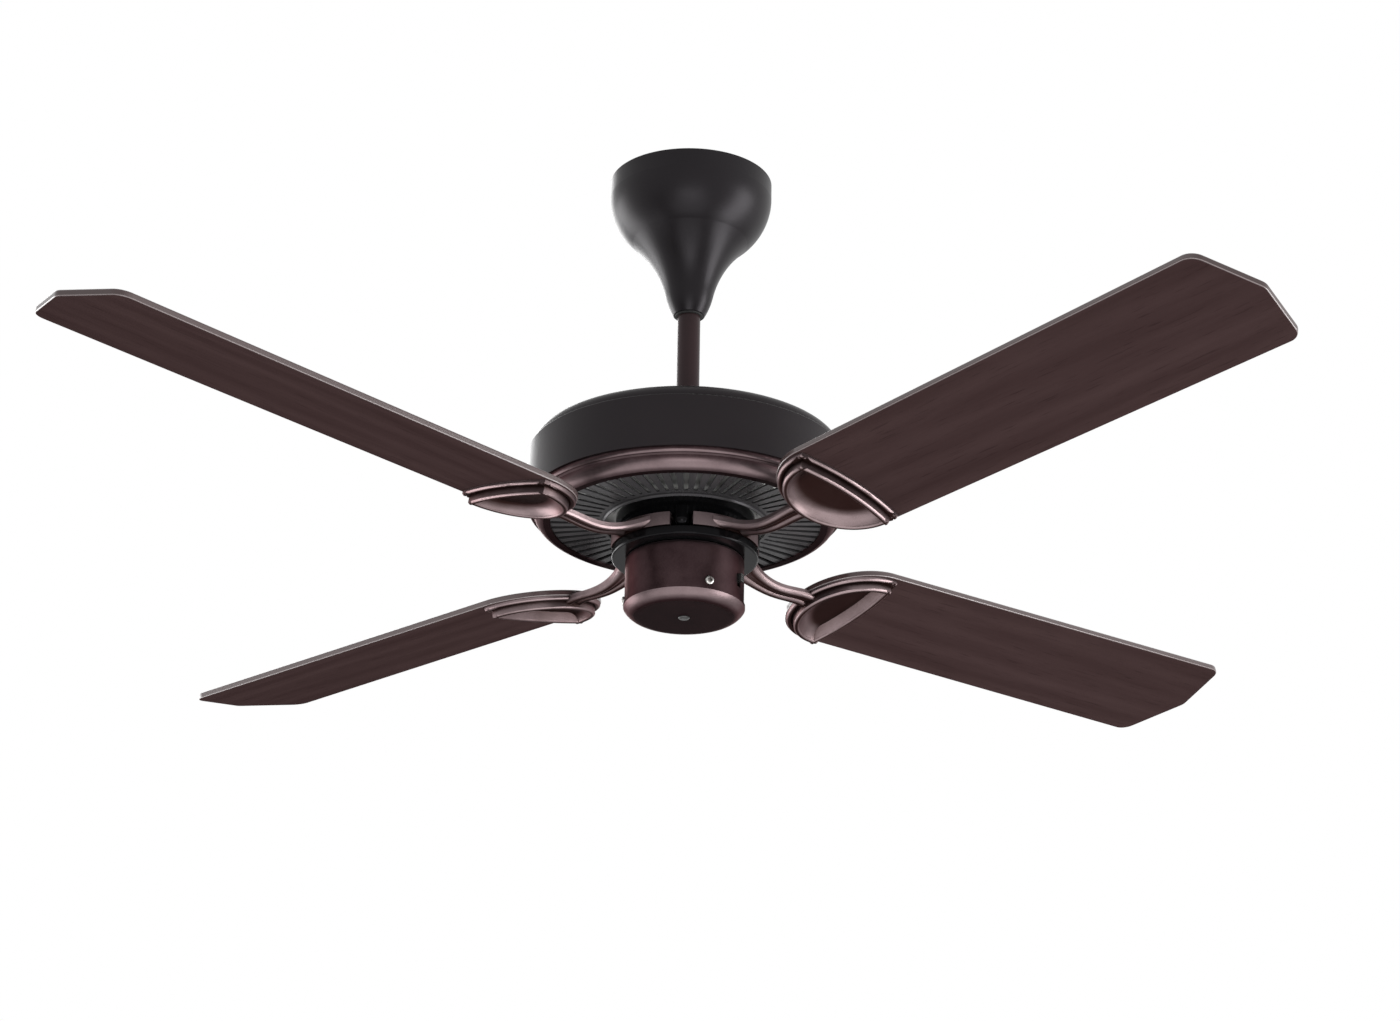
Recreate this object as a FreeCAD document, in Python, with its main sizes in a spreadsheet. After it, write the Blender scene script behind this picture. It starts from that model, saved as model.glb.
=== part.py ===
import FreeCAD, Part
import math
import os
import Sketcher

# Ceiling fan on a downrod: canopy, drum housing with a radial vent plate, four pitched blades on cast
# blade irons, and a switch cup below. Axis Z, ceiling at z = 0, all lengths in millimetres.
# Each body is drawn about its own datum and set in place by an expression on the sheet.

SIZES = {
    # Ceiling to the point where the blades' lower plane meets the axis; the hub's heights start there
    "drop": 368.0,
    "overrun": 5.0,
    "fit_gap": 0.05,
    "slack": 0.3,
    "run_gap": 0.05,
    "bolt_gap": 0.2,
    # Canopy bell and the grip in its neck
    "canopy_rad": 73.0,
    "canopy_tall": 131.0,
    "canopy_wall": 1.5,
    "neck_room": 3.8,
    "flare_lip": 7.0,
    "grip_flange": 0.3,
    "grip_flange_thick": 2.4,
    "grip_rise": 2.6,
    "grip_below": 1.4,
    # Downrod
    "rod_rad": 10.2,
    "rod_wall": 2.6,
    "rod_end": 16.0,
    "rod_seat": 10.0,
    # Shackle straps, roller and their bolts
    "strap_wide": 18.0,
    "strap_thick": 3.0,
    "roller_deep": 28.0,
    "cross_deep": 76.0,
    "roller_rad": 15.0,
    "roller_groove_rad": 9.0,
    "bolt_rad": 3.0,
    "hex_flats": 10.0,
    "hex_thick": 4.2,
    "bolt_tail": 3.0,
    # Coupling on top of the housing
    "collar_wall": 6.8,
    "collar_tall": 36.0,
    "collar_round": 3.0,
    "flange_wide": 17.0,
    "flange_thick": 4.0,
    # Motor shaft
    "shaft_rad": 8.0,
    "shaft_wall": 3.0,
    "shaft_collar": 4.0,
    "shaft_collar_thick": 3.0,
    "shaft_tail": 9.0,
    "shaft_in_collar": 4.0,
    # Drum housing and the plate that hangs it
    "drum_rad": 140.0,
    "drum_wall": 1.5,
    "drum_foot": 50.4,
    "drum_tall": 46.6,
    "drum_lip_round": 1.4,
    "drum_lip_in": 2.2,
    "shoulder_rad": 11.6,
    "hang_plate_room": 4.8,
    "hang_plate_thick": 3.0,
    "top_screw_room": 8.0,
    "top_screw_angle": -64.5,
    "top_screw_count": 4,
    "pan_rad": 4.2,
    "pan_tall": 2.6,
    "pan_shank_rad": 2.0,
    # Stepped trim ring below the drum wall
    "spigot_rise": 6.5,
    "ring_thick": 1.8,
    "bead_gap": 0.6,
    "bead_in": 2.7,
    "bead_tall": 4.6,
    "groove_in": 2.0,
    "groove_tall": 1.0,
    "band_in": 9.0,
    "band_tall": 10.7,
    "ring_floor": 1.5,
    "ledge_in": 2.6,
    "ring_seat": 3.5,
    # Vent plate with radial slots
    "plate_thick": 1.6,
    "plate_room": 10.0,
    "lip_wide": 2.2,
    "lip_drop": 2.8,
    "vent_start": 7.0,
    "vent_stop": 1.5,
    "vent_wide": 5.2,
    "vent_count": 60,
    # Motor inside the drum
    "rotor_room": 36.0,
    "rotor_rim": 27.4,
    "rotor_clear": 7.4,
    "rotor_web": 6.0,
    "rotor_bevel": 6.0,
    "rotor_neck": 2.0,
    "rotor_neck_tall": 4.0,
    "air_gap": 0.6,
    "coil_rim": 8.0,
    "coil_wide": 30.0,
    "coil_reach": 5.0,
    "stator_room": 3.0,
    "stator_slot_rad": 3.2,
    "stator_slot_count": 16,
    "bearing_wide": 12.0,
    "bearing_rise": 6.0,
    "bearing_room": 6.5,
    # Hub with a lug in each gap between the irons
    "hub_rad": 61.0,
    "hub_tall": 19.0,
    "hub_bore": 6.0,
    "lug_rad": 6.6,
    "lug_rise": 6.0,
    # Foot of the blade irons
    "iron_count": 4,
    "iron_angle": 41.86,
    "foot_over": 4.0,
    "foot_inset": 25.0,
    "foot_band": 6.0,
    "foot_flange": 4.0,
    "foot_drop": 12.0,
    "foot_angle": 72.0,
    "foot_screw_angle": 20.0,
    "foot_screw_rad": 2.5,
    "foot_screw_head_rad": 4.6,
    "foot_screw_head": 3.0,
    "foot_screw_deep": 9.0,
    # Leaf of the iron, in the blade's own plane
    "leaf_centre": 200.0,
    "leaf_rad": 52.0,
    "leaf_chord_out": 8.0,
    "leaf_chord_rad": 236.0,
    "bead_half": 5.4,
    "bead_low": 2.0,
    "bead_start": 9.0,
    "bead_round": 3.0,
    "leaf_floor": 2.2,
    "leaf_cove": 15.0,
    "chord_cove": 5.6,
    # Arm of the iron: reach, height, width and thickness at its stations
    "arm_lap": 4.0, "arm_root_drop": 5.8, "arm_root_wide": 46.0, "arm_root_thick": 8.5,
    "arm_bend_out": 9.0, "arm_bend_drop": 10.8, "arm_bend_wide": 28.0, "arm_bend_thick": 8.0,
    "arm_dip_out": 27.0, "arm_dip_drop": 16.4, "arm_dip_wide": 19.5, "arm_dip_thick": 7.5,
    "arm_mid_drop": 18.0, "arm_mid_wide": 18.0, "arm_mid_thick": 7.0,
    "arm_end_lap": 0.5, "arm_end_under": 0.6, "arm_end_wide": 20.0, "arm_end_thick": 6.2,
    # Blades
    "blade_thick": 5.5,
    "blade_cone_angle": 3.08,
    "blade_pitch_angle": -12.1,
    "blade_over": 2.8,
    "blade_flare": 4.8,
    "blade_reach": 660.0,
    "blade_point": 19.0,
    "blade_corner_round": 14.0,
    "blade_apex_round": 12.0,
    "blade_edge_round": 1.2,
    "blade_screw_rad": 2.3,
    "blade_screw_head_rad": 4.8,
    "blade_screw_head": 2.4,
    "blade_screw_deep": 1.4,
    "washer_rad": 6.5,
    "washer_thick": 1.2,
    # Black tray over the switch cup
    "tray_over": 12.0,
    "tray_gap": 1.1,
    "tray_wall": 2.0,
    "tray_round": 1.6,
    # Switch cup and its cap
    "cup_inset": 9.0,
    "cup_hang": 20.1,
    "cup_tall": 42.5,
    "cup_wall": 1.5,
    "cup_round": 3.0,
    "nut_wall": 3.0,
    "nut_thick": 6.0,
    "cap_over": 1.0,
    "cap_side": 2.6,
    "cap_slope": 14.0,
    "cap_tall": 10.6,
    "cap_wall": 1.8,
    "skirt_rise": 9.4,
    "cup_screw_rise": 5.6,
    "cup_screw_angle": -66.0,
    "cup_screw_count": 3,
    "cup_screw_deep": 6.0,
    "plug_rad": 5.0,
    "plug_tall": 2.0,
    "plug_shank_rad": 3.2,
    # Reversing slide switch in the cup's side
    "switch_angle": -25.0,
    "switch_drop": 24.4,
    "switch_travel": 4.0,
    "switch_inset": 4.0,
    "switch_deep": 13.0,
    "switch_wide": 14.0,
    "switch_rim": 2.5,
    "knob_wide": 5.6,
    "knob_tall": 7.0,
    "knob_out": 3.4,
    "knob_gap": 0.6,
}

# Places along the canopy's outline and the arm, and bends of each curve against its chord
outline_shares = {
    "side_share": 0.122,
    "dome_rad_share": 0.705,
    "dome_deep_share": 0.445,
    "flare_deep_share": 0.8626,
    "dome_bend_share": 1.238,
    "flare_bend_share": 1.678,
    "neck_bend_share": 3.47,
    "dome_out_share": 0.6735,
    "dome_down_share": 0.7388,
    "neck_out_share": 0.9743,
    "neck_down_share": 0.2248,
    "bead_bend_share": 0.62,
    "band_bend_share": 0.894,
    "cap_bend_share": 1.02,
    "half_bend_share": 0.5005,
    "arm_mid_share": 0.46,
    "rib_share": 0.47,
    "groove_share": 0.08,
    "rib_bend_share": 0.275,
    "rib_high_share": 0.25,
    "collar_bolt_share": 0.667,
    "screw_in_share": 0.5,
    "screw_out_share": 0.1,
    "screw_half_share": 0.58,
    "pan_side_share": 0.3,
    "pan_bend_share": 1.2,
    "pan_crown_share": 0.5,
}

# Sizes that follow from the ones above
FITS = {
    "neck_rad": "rod_rad + neck_room",
    "canopy_side": "canopy_tall * side_share",
    "dome_end_rad": "canopy_rad * dome_rad_share",
    "dome_end_deep": "canopy_tall * dome_deep_share",
    "flare_end_rad": "neck_rad + flare_lip",
    "flare_end_deep": "canopy_tall * flare_deep_share",
    "dome_bend": "dome_bend_share * sqrt((canopy_rad - dome_end_rad)^2 + (dome_end_deep - canopy_side)^2)",
    "flare_bend": "flare_bend_share * sqrt((dome_end_rad - flare_end_rad)^2"
                  " + (flare_end_deep - dome_end_deep)^2)",
    "neck_bend": "neck_bend_share * sqrt(flare_lip^2 + (canopy_tall - flare_end_deep)^2)",
    "rod_bore_rad": "rod_rad - rod_wall",
    "rod_top": "cross_deep - rod_end",
    "rod_foot": "drum_top + flange_thick + rod_seat",
    "collar_rad": "rod_rad + collar_wall",
    "collar_top": "drum_top + flange_thick + collar_tall",
    "collar_bolt_high": "drum_top + flange_thick + collar_tall * collar_bolt_share",
    "flange_rad": "collar_rad + flange_wide",
    "drum_shoulder": "drum_foot + drum_tall",
    "drum_lip": "drum_shoulder + drum_lip_round",
    "dome_rad": "drum_rad - drum_lip_in",
    "drum_top": "drum_lip + shoulder_rad",
    "drum_under": "drum_top - drum_wall",
    "hang_plate_rad": "dome_rad - shoulder_rad - hang_plate_room",
    "top_screw_ring": "hang_plate_rad - top_screw_room",
    "spigot_rad": "drum_rad - drum_wall - bolt_gap",
    "bead_top": "drum_foot - bead_gap",
    "bead_end_rad": "spigot_rad - bead_in",
    "bead_end": "bead_top - bead_tall",
    "bead_bend": "bead_bend_share * sqrt(bead_in^2 + bead_tall^2)",
    "band_top_rad": "bead_end_rad - groove_in",
    "band_top": "bead_end - groove_tall",
    "band_foot_rad": "band_top_rad - band_in",
    "band_bend": "band_bend_share * sqrt(band_in^2 + band_tall^2)",
    "ring_foot": "band_top - band_tall",
    "ledge": "ring_foot + ring_floor",
    "ledge_rad": "band_foot_rad - ledge_in",
    "ring_hole_rad": "ledge_rad - ring_seat",
    "plate_hole_rad": "hub_rad + plate_room",
    "vent_in_rad": "plate_hole_rad + vent_start",
    "vent_out_rad": "ring_hole_rad - vent_stop",
    "rotor_rad": "drum_rad - rotor_room",
    "rotor_foot": "ledge + plate_thick + rotor_clear",
    "rotor_top": "drum_under - hang_plate_thick - bearing_rise - bearing_room",
    "rotor_neck_rad": "hub_rad + rotor_neck",
    "bearing_rad": "shaft_rad + bearing_wide",
    "stator_rad": "rotor_rad - rotor_rim - air_gap",
    "stator_foot": "rotor_foot + rotor_web + coil_reach + stator_room",
    "stator_top": "rotor_top - rotor_web - coil_reach - stator_room",
    "coil_out_rad": "stator_rad - coil_rim",
    "coil_in_rad": "coil_out_rad - coil_wide",
    "hub_top": "rotor_foot - rotor_neck_tall",
    "hub_foot": "hub_top - hub_tall",
    "hub_bore_rad": "shaft_rad + hub_bore",
    "foot_out_rad": "hub_rad + foot_over",
    "foot_in_rad": "hub_rad - foot_inset",
    "foot_screw_ring": "(foot_in_rad + foot_out_rad - foot_band) / 2",
    "lug_ring": "foot_out_rad - lug_rad",
    "lug_foot": "hub_foot - foot_drop",
    "lug_top": "hub_foot + lug_rise",
    "leaf_chord_at": "leaf_centre + leaf_chord_out",
    "leaf_dish": "bead_start - leaf_floor",
    "leaf_bend": "(leaf_cove^2 + leaf_dish^2) / (2 * leaf_dish)",
    "leaf_edge_at": "leaf_chord_at - bead_half / 2",
    "bead_crest": "bead_low + bead_round - sqrt(bead_round^2 - bead_half^2 / 4)",
    "floor_rad": "leaf_rad - bead_half / 2",
    "leaf_edge_half": "sqrt(floor_rad^2 - (leaf_edge_at - leaf_centre)^2)",
    "leaf_sweep": "180 + 2 * asin(leaf_chord_out / leaf_rad) / 1deg",
    "leaf_chord_sweep": "2 * asin((leaf_rad + bead_half) / leaf_chord_rad) / 1deg",
    "arm_root_rad": "foot_out_rad - arm_lap",
    "arm_bend_rad": "foot_out_rad + arm_bend_out",
    "arm_dip_rad": "foot_out_rad + arm_dip_out",
    "arm_mid_rad": "arm_dip_rad + (arm_end_rad - arm_dip_rad) * arm_mid_share",
    "arm_end_rad": "leaf_centre - leaf_rad + arm_end_lap",
    "arm_root_high": "hub_foot - arm_root_drop",
    "arm_bend_high": "hub_foot - arm_bend_drop",
    "arm_dip_high": "hub_foot - arm_dip_drop",
    "arm_mid_high": "hub_foot - arm_mid_drop",
    "arm_end_high": "arm_end_rad * tan(blade_cone_angle) - arm_end_thick / 2 - arm_end_under",
    "blade_root_half": "leaf_rad + bead_half + blade_over",
    "blade_tip_half": "blade_root_half + blade_flare",
    "blade_corner_at": "blade_reach - blade_point",
    "screw_in_at": "leaf_centre - leaf_rad * screw_in_share",
    "screw_out_at": "leaf_centre - leaf_rad * screw_out_share",
    "screw_half": "leaf_rad * screw_half_share",
    "cup_rad": "hub_rad - cup_inset",
    "cup_top": "hub_foot - cup_hang",
    "tray_rad": "cup_rad + tray_over",
    "tray_top": "hub_foot - foot_drop - tray_gap",
    "tray_floor": "cup_top + tray_wall",
    "cup_under": "cup_top - cup_wall",
    "cup_foot": "cup_top - cup_tall",
    "cup_in_rad": "cup_rad - cup_wall",
    "cup_screw_high": "cup_foot + cup_screw_rise",
    "nut_flats": "2 * (shaft_rad + nut_wall)",
    "cap_rad": "cup_rad + cap_over",
    "cap_foot": "cup_foot - cap_tall",
    "cap_flat_rad": "cap_rad - cap_slope",
    "cap_bend": "cap_bend_share * sqrt(cap_slope^2 + (cap_tall - cap_side)^2)",
    "skirt_rad": "cup_in_rad - bolt_gap",
    "switch_high": "cup_top - switch_drop",
    "switch_foot": "switch_high - switch_travel - knob_tall / 2 - switch_rim",
    "switch_face": "cup_in_rad - switch_inset",
    "knob_reach": "cup_rad + knob_out",
}

doc = FreeCAD.newDocument("ceiling_fan")
sheet = doc.addObject("Spreadsheet::Sheet", "Sizes")
CELLS = dict(SIZES, **outline_shares)
for row, (name, amount) in enumerate(CELLS.items(), 1):
    sheet.set("A%d" % row, name)
    sheet.set("B%d" % row, str(amount))
    sheet.setAlias("B%d" % row, name)
doc.recompute()

UP = FreeCAD.Vector(0, 0, 1)
finished = []


def named(text):
    """An expression with every size spelt out as a cell of the sheet."""
    words, word = [], ""
    for letter in text + " ":
        if letter.isalnum() or letter == "_" or (letter == "." and word.isdigit()):
            word += letter
            continue
        if word in FITS:
            word = "(" + named(FITS[word]) + ")"
        words += ["Sizes." + word if word in CELLS else word, letter]
        word = ""
    return "".join(words).strip()


def value(text):
    """The number that an expression on the sheet gives."""
    found = sheet.evalExpression(named(text))
    return float(getattr(found, "Value", found))


def at(across="0", along="0", height="0", turn="rotationz(0)"):
    """Placement expression from a named point and a turn."""
    return "placement(vector(%s; %s; %s); %s)" % (across, along, height, turn)


HUB = at(height="-drop")
UPRIGHT = "rotationx(90)"
LEAF = at(turn="rotationy(-blade_cone_angle) * rotationx(blade_pitch_angle)")
LYING = "rotationx(-90)"


def iron_place(number):
    """Placement expression of one iron, level and turned to its blade."""
    return at(height="-drop", turn="rotationz(iron_angle + %d * 360 / iron_count)" % number)


def body(label, place=HUB):
    """An empty body whose placement is an expression on the sheet."""
    made = doc.addObject("PartDesign::Body", label)
    made.Label = label
    made.setExpression("Placement", named(place))
    finished.append(made)
    return made


def sketch(owner, name, place=at(turn=UPRIGHT)):
    """A sketch placed in its body by an expression; by default upright, with its height along the axis."""
    made = owner.newObject("Sketcher::SketchObject", name)
    made.setExpression("Placement", named(place))
    return made


def arc(start, end, radius, turn):
    """Arc from start to end; a positive turn is counter-clockwise."""
    chord = end.sub(start)
    half = chord.Length / 2
    rise = math.sqrt(max(radius * radius - half * half, 0))
    side = FreeCAD.Vector(-chord.y, chord.x, 0).normalize()
    centre = start.add(end).multiply(0.5).add(side.multiply(rise * turn))
    first, last = (start, end) if turn > 0 else (end, start)
    angles = [math.atan2(p.y - centre.y, p.x - centre.x) for p in (first, last)]
    return Part.ArcOfCircle(Part.Circle(centre, UP, radius), *angles)


def hold(plan, kind, text, *ends):
    """A constraint of the sketch bound to an expression."""
    held = plan.addConstraint(Sketcher.Constraint(kind, *ends, value(text)))
    plan.setExpression("Constraints[%d]" % held, named(text))


def draw(plan, corners):
    """Closed outline; a corner is (x, y), with (radius, turn) after it where the next edge bends."""
    points = [FreeCAD.Vector(value(c[0]), value(c[1]), 0) for c in corners]
    count, first = len(corners), plan.GeometryCount
    for i, c in enumerate(corners):
        start, end = points[i], points[(i + 1) % count]
        bent = len(c) > 2
        edge = arc(start, end, value(c[2]), c[3]) if bent else Part.LineSegment(start, end)
        plan.addGeometry(edge, False)
    ends = [(2, 1) if len(c) > 2 and c[3] < 0 else (1, 2) for c in corners]
    for i, c in enumerate(corners):
        after = (i + 1) % count
        meet = first + i, ends[i][1], first + after, ends[after][0]
        plan.addConstraint(Sketcher.Constraint("Coincident", *meet))
        hold(plan, "DistanceX", c[0], -1, 1, first + i, ends[i][0])
        hold(plan, "DistanceY", c[1], -1, 1, first + i, ends[i][0])
        if len(c) > 2:
            hold(plan, "Radius", c[2], first + i)


def ring(plan, radius, across="0", along="0"):
    """A circle of a named radius round a named centre."""
    spot = FreeCAD.Vector(value(across), value(along), 0)
    made = plan.addGeometry(Part.Circle(spot, UP, value(radius)), False)
    hold(plan, "DistanceX", across, -1, 1, made, 3)
    hold(plan, "DistanceY", along, -1, 1, made, 3)
    hold(plan, "Radius", radius, made)


def box(plan, wide, low, high):
    """A rectangle of a named width between two named heights."""
    draw(plan, [("-(%s) / 2" % wide, low), ("(%s) / 2" % wide, low),
                ("(%s) / 2" % wide, high), ("-(%s) / 2" % wide, high)])


def hexagon(plan, flats):
    """A regular hexagon given by its width across flats."""
    reach = "(%s) / sqrt(3)" % flats
    draw(plan, [("%s * cos(%d)" % (reach, a), "%s * sin(%d)" % (reach, a)) for a in range(0, 360, 60)])


def revolve(owner, plan, angle=None):
    """Turn a sketch about its own upright axis, fully or through a named angle."""
    made = owner.newObject("PartDesign::Revolution", plan.Name + "_turned")
    made.Profile = plan
    made.ReferenceAxis = (plan, ["V_Axis"])
    if angle:
        made.setExpression("Angle", named(angle))
        made.Midplane = True
    return made


def pad(owner, plan, length, middle=False, kind="Pad", down=False):
    """Raise a sketch by a named length, or cut with it."""
    made = owner.newObject("PartDesign::" + kind, plan.Name + "_" + kind.lower())
    made.Profile = plan
    made.setExpression("Length", named(length))
    made.Midplane = middle
    made.Reversed = down
    return made


def cut(owner, plan, length):
    """Cut through both ways from a sketch."""
    return pad(owner, plan, length, True, "Pocket")


def around(owner, features, count):
    """Repeat features round the body's upright axis; the body then ends there."""
    made = owner.newObject("PartDesign::PolarPattern", features[0].Name + "_round")
    made.Originals = features
    made.Axis = (owner.Origin.OriginFeatures[2], [""])
    made.setExpression("Occurrences", named(count))
    owner.Tip = made
    return made


def soften(owner, radius, chosen):
    """Round the chosen edges of the body as it stands."""
    doc.recompute()
    base = owner.Tip
    names = ["Edge%d" % (i + 1) for i, edge in enumerate(base.Shape.Edges) if chosen(edge)]
    made = owner.newObject("PartDesign::Fillet", base.Name + "_soft")
    made.Base = (base, names)
    made.setExpression("Radius", named(radius))
    return made


def pan_head(plan, head, tall, shank, deep):
    """Half section of a round-headed screw, its seat at zero and its head upwards."""
    draw(plan, [
        ("0", "-(%s)" % deep), (shank, "-(%s)" % deep), (shank, "0"), (head, "0"),
        (head, "%s * pan_side_share" % tall, "%s * pan_bend_share" % head, 1),
        ("%s * pan_crown_share" % head, tall), ("0", tall),
    ])


# Canopy: a bell that slides on the downrod, and the rubber grip in its neck
canopy = body("canopy", at(height="-canopy_tall"))
bell = sketch(canopy, "bell")
draw(bell, [
    ("canopy_rad", "canopy_tall"),
    ("canopy_rad - canopy_wall", "canopy_tall"),
    ("canopy_rad - canopy_wall", "canopy_tall - canopy_side", "dome_bend - canopy_wall", -1),
    ("dome_end_rad - dome_out_share * canopy_wall",
     "canopy_tall - dome_end_deep + dome_down_share * canopy_wall",
     "flare_bend + canopy_wall", 1),
    ("flare_end_rad - neck_out_share * canopy_wall",
     "canopy_tall - flare_end_deep + neck_down_share * canopy_wall",
     "neck_bend - canopy_wall", -1),
    ("neck_rad - canopy_wall", "0"),
    ("neck_rad", "0", "neck_bend", 1),
    ("flare_end_rad", "canopy_tall - flare_end_deep", "flare_bend", -1),
    ("dome_end_rad", "canopy_tall - dome_end_deep", "dome_bend", 1),
    ("canopy_rad", "canopy_tall - canopy_side"),
])
revolve(canopy, bell)

grip = body("canopy_grip", at(height="-canopy_tall"))
sleeve = sketch(grip, "sleeve")
inside, outside = "rod_rad + run_gap", "neck_rad - canopy_wall - fit_gap"
draw(sleeve, [
    (inside, "-grip_below"), (outside, "-grip_below"), (outside, "grip_rise"),
    ("neck_rad - grip_flange", "grip_rise + fit_gap"),
    ("neck_rad - grip_flange", "grip_rise + grip_flange_thick"),
    (inside, "grip_rise + grip_flange_thick"),
])
revolve(grip, sleeve)

# Downrod with a cross hole at each end
rod = body("downrod", at(height="rod_foot - drop"))
tube = sketch(rod, "tube", at())
ring(tube, "rod_rad")
ring(tube, "rod_bore_rad")
pad(rod, tube, "drop - rod_foot - rod_top")
cross = sketch(rod, "cross_holes")
ring(cross, "bolt_rad + bolt_gap", "0", "drop - rod_foot - cross_deep")
ring(cross, "bolt_rad + bolt_gap", "0", "collar_bolt_high - rod_foot")
cut(rod, cross, "2 * rod_rad + overrun")

# Shackle: two straps, a rubber roller for the ceiling hook, two bolts and their nuts
straps = body("shackle_straps", at(height="-cross_deep"))
strap_face = at(along="-rod_rad - slack", turn=UPRIGHT)
strap = sketch(straps, "strap", strap_face)
span, bend = "cross_deep - roller_deep", "strap_wide * half_bend_share"
draw(strap, [("strap_wide / 2", "0"), ("strap_wide / 2", span, bend, 1),
             ("-strap_wide / 2", span), ("-strap_wide / 2", "0", bend, 1)])
strap_pad = pad(straps, strap, "strap_thick")
strap_holes = sketch(straps, "strap_holes", strap_face)
ring(strap_holes, "bolt_rad + bolt_gap")
ring(strap_holes, "bolt_rad + bolt_gap", "0", span)
strap_cut = cut(straps, strap_holes, "2 * strap_thick + overrun")
pair = around(straps, [strap_pad, strap_cut], "2")

roller = body("shackle_roller", at(height="-roller_deep", turn=LYING))
spool = sketch(roller, "spool")
draw(spool, [
    ("bolt_rad + bolt_gap", "-rod_rad"), ("roller_rad", "-rod_rad"),
    ("roller_rad", "-rod_rad + strap_thick"),
    ("roller_groove_rad", "-strap_thick / 2", "strap_thick", -1), ("roller_groove_rad", "strap_thick / 2"),
    ("roller_rad", "rod_rad - strap_thick"), ("roller_rad", "rod_rad"), ("bolt_rad + bolt_gap", "rod_rad"),
])
revolve(roller, spool)


def build_bolts(bolt_label, nut_label, deep, reach, shifts):
    """Hexagon bolts that lie across the rod, and their nuts, one at each shift up from the named depth."""
    bolt = body(bolt_label, at(height="-(%s)" % deep, turn=LYING))
    nut = body(nut_label, at(height="-(%s)" % deep, turn=LYING))
    for k, shift in enumerate(shifts):
        behind, ahead = at("0", "-(%s)" % shift, "-(%s)" % reach), at("0", "-(%s)" % shift, reach)
        shank = sketch(bolt, "%s_shank_%d" % (bolt_label, k), behind)
        ring(shank, "bolt_rad")
        pad(bolt, shank, "2 * (%s) + hex_thick + bolt_tail" % reach)
        head = sketch(bolt, "%s_head_%d" % (bolt_label, k), behind)
        hexagon(head, "hex_flats")
        pad(bolt, head, "hex_thick", down=True)
        six = sketch(nut, "%s_plan_%d" % (nut_label, k), ahead)
        hexagon(six, "hex_flats")
        ring(six, "bolt_rad + fit_gap")
        pad(nut, six, "hex_thick")


build_bolts("shackle_bolts", "shackle_nuts", "cross_deep", "rod_rad + slack + strap_thick", ("0", span))
build_bolts("collar_bolt", "collar_nut", "drop - collar_bolt_high", "collar_rad", ("0",))

# Coupling that carries the housing, the hanging plate and the shaft
coupling = body("coupling")
collar = sketch(coupling, "collar")
step = "drum_top + flange_thick"
draw(collar, [
    ("shaft_rad + fit_gap", "drum_top"), ("flange_rad", "drum_top"), ("flange_rad", step),
    ("collar_rad + collar_round", step, "collar_round", -1), ("collar_rad", step + " + collar_round"),
    ("collar_rad", "collar_top"), ("rod_rad + fit_gap", "collar_top"), ("rod_rad + fit_gap", "rod_foot"),
    ("shaft_rad + fit_gap", "rod_foot"),
])
revolve(coupling, collar)
pin = sketch(coupling, "pin_hole")
ring(pin, "bolt_rad + bolt_gap", "0", "collar_bolt_high")
cut(coupling, pin, "2 * flange_rad + overrun")

plate = body("hanging_plate")
disc = sketch(plate, "disc")
draw(disc, [
    ("shaft_rad + fit_gap", "drum_under - hang_plate_thick"),
    ("hang_plate_rad", "drum_under - hang_plate_thick"),
    ("hang_plate_rad", "drum_under"), ("shaft_rad + fit_gap", "drum_under"),
])
revolve(plate, disc)
tap = sketch(plate, "plate_tap", at(height="drum_under", turn="rotationz(top_screw_angle)"))
ring(tap, "pan_shank_rad + fit_gap", "top_screw_ring")
around(plate, [cut(plate, tap, "2 * hang_plate_thick + overrun")], "top_screw_count")

shaft = body("motor_shaft")
section = sketch(shaft, "shaft_section")
neck = "tray_floor + shaft_collar_thick"
draw(section, [
    ("shaft_rad - shaft_wall", "cup_top - shaft_tail"), ("shaft_rad", "cup_top - shaft_tail"),
    ("shaft_rad", "tray_floor"), ("shaft_rad + shaft_collar", "tray_floor"),
    ("shaft_rad + shaft_collar", neck), ("shaft_rad", neck),
    ("shaft_rad", "rod_foot - shaft_in_collar"), ("shaft_rad - shaft_wall", "rod_foot - shaft_in_collar"),
])
revolve(shaft, section)

# Drum housing and its top screws
drum = body("housing_drum")
shell = sketch(drum, "drum_section")
draw(shell, [
    ("drum_rad", "drum_foot"), ("drum_rad", "drum_shoulder", "drum_lip_round", 1),
    ("drum_rad - drum_lip_round", "drum_lip"), ("dome_rad", "drum_lip", "shoulder_rad", 1),
    ("dome_rad - shoulder_rad", "drum_top"), ("shaft_rad + slack", "drum_top"),
    ("shaft_rad + slack", "drum_under"),
    ("dome_rad - shoulder_rad", "drum_under", "shoulder_rad - drum_wall", -1),
    ("dome_rad - drum_wall", "drum_lip"), ("dome_rad - drum_wall", "drum_lip - drum_wall"),
    ("drum_rad - drum_wall", "drum_lip - drum_wall"), ("drum_rad - drum_wall", "drum_foot"),
])
revolve(drum, shell)
bore = sketch(drum, "drum_screw_hole", at(height="drum_top", turn="rotationz(top_screw_angle)"))
ring(bore, "pan_shank_rad + bolt_gap", "top_screw_ring")
around(drum, [cut(drum, bore, "2 * drum_wall + overrun")], "top_screw_count")

screws = body("drum_screws")
screw_spot = at(turn="rotationz(top_screw_angle)") + " * " + at("top_screw_ring", "0", "drum_top", UPRIGHT)
pan = sketch(screws, "drum_screw", screw_spot)
pan_head(pan, "pan_rad", "pan_tall", "pan_shank_rad", "drum_wall + hang_plate_thick")
around(screws, [revolve(screws, pan)], "top_screw_count")

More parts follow.
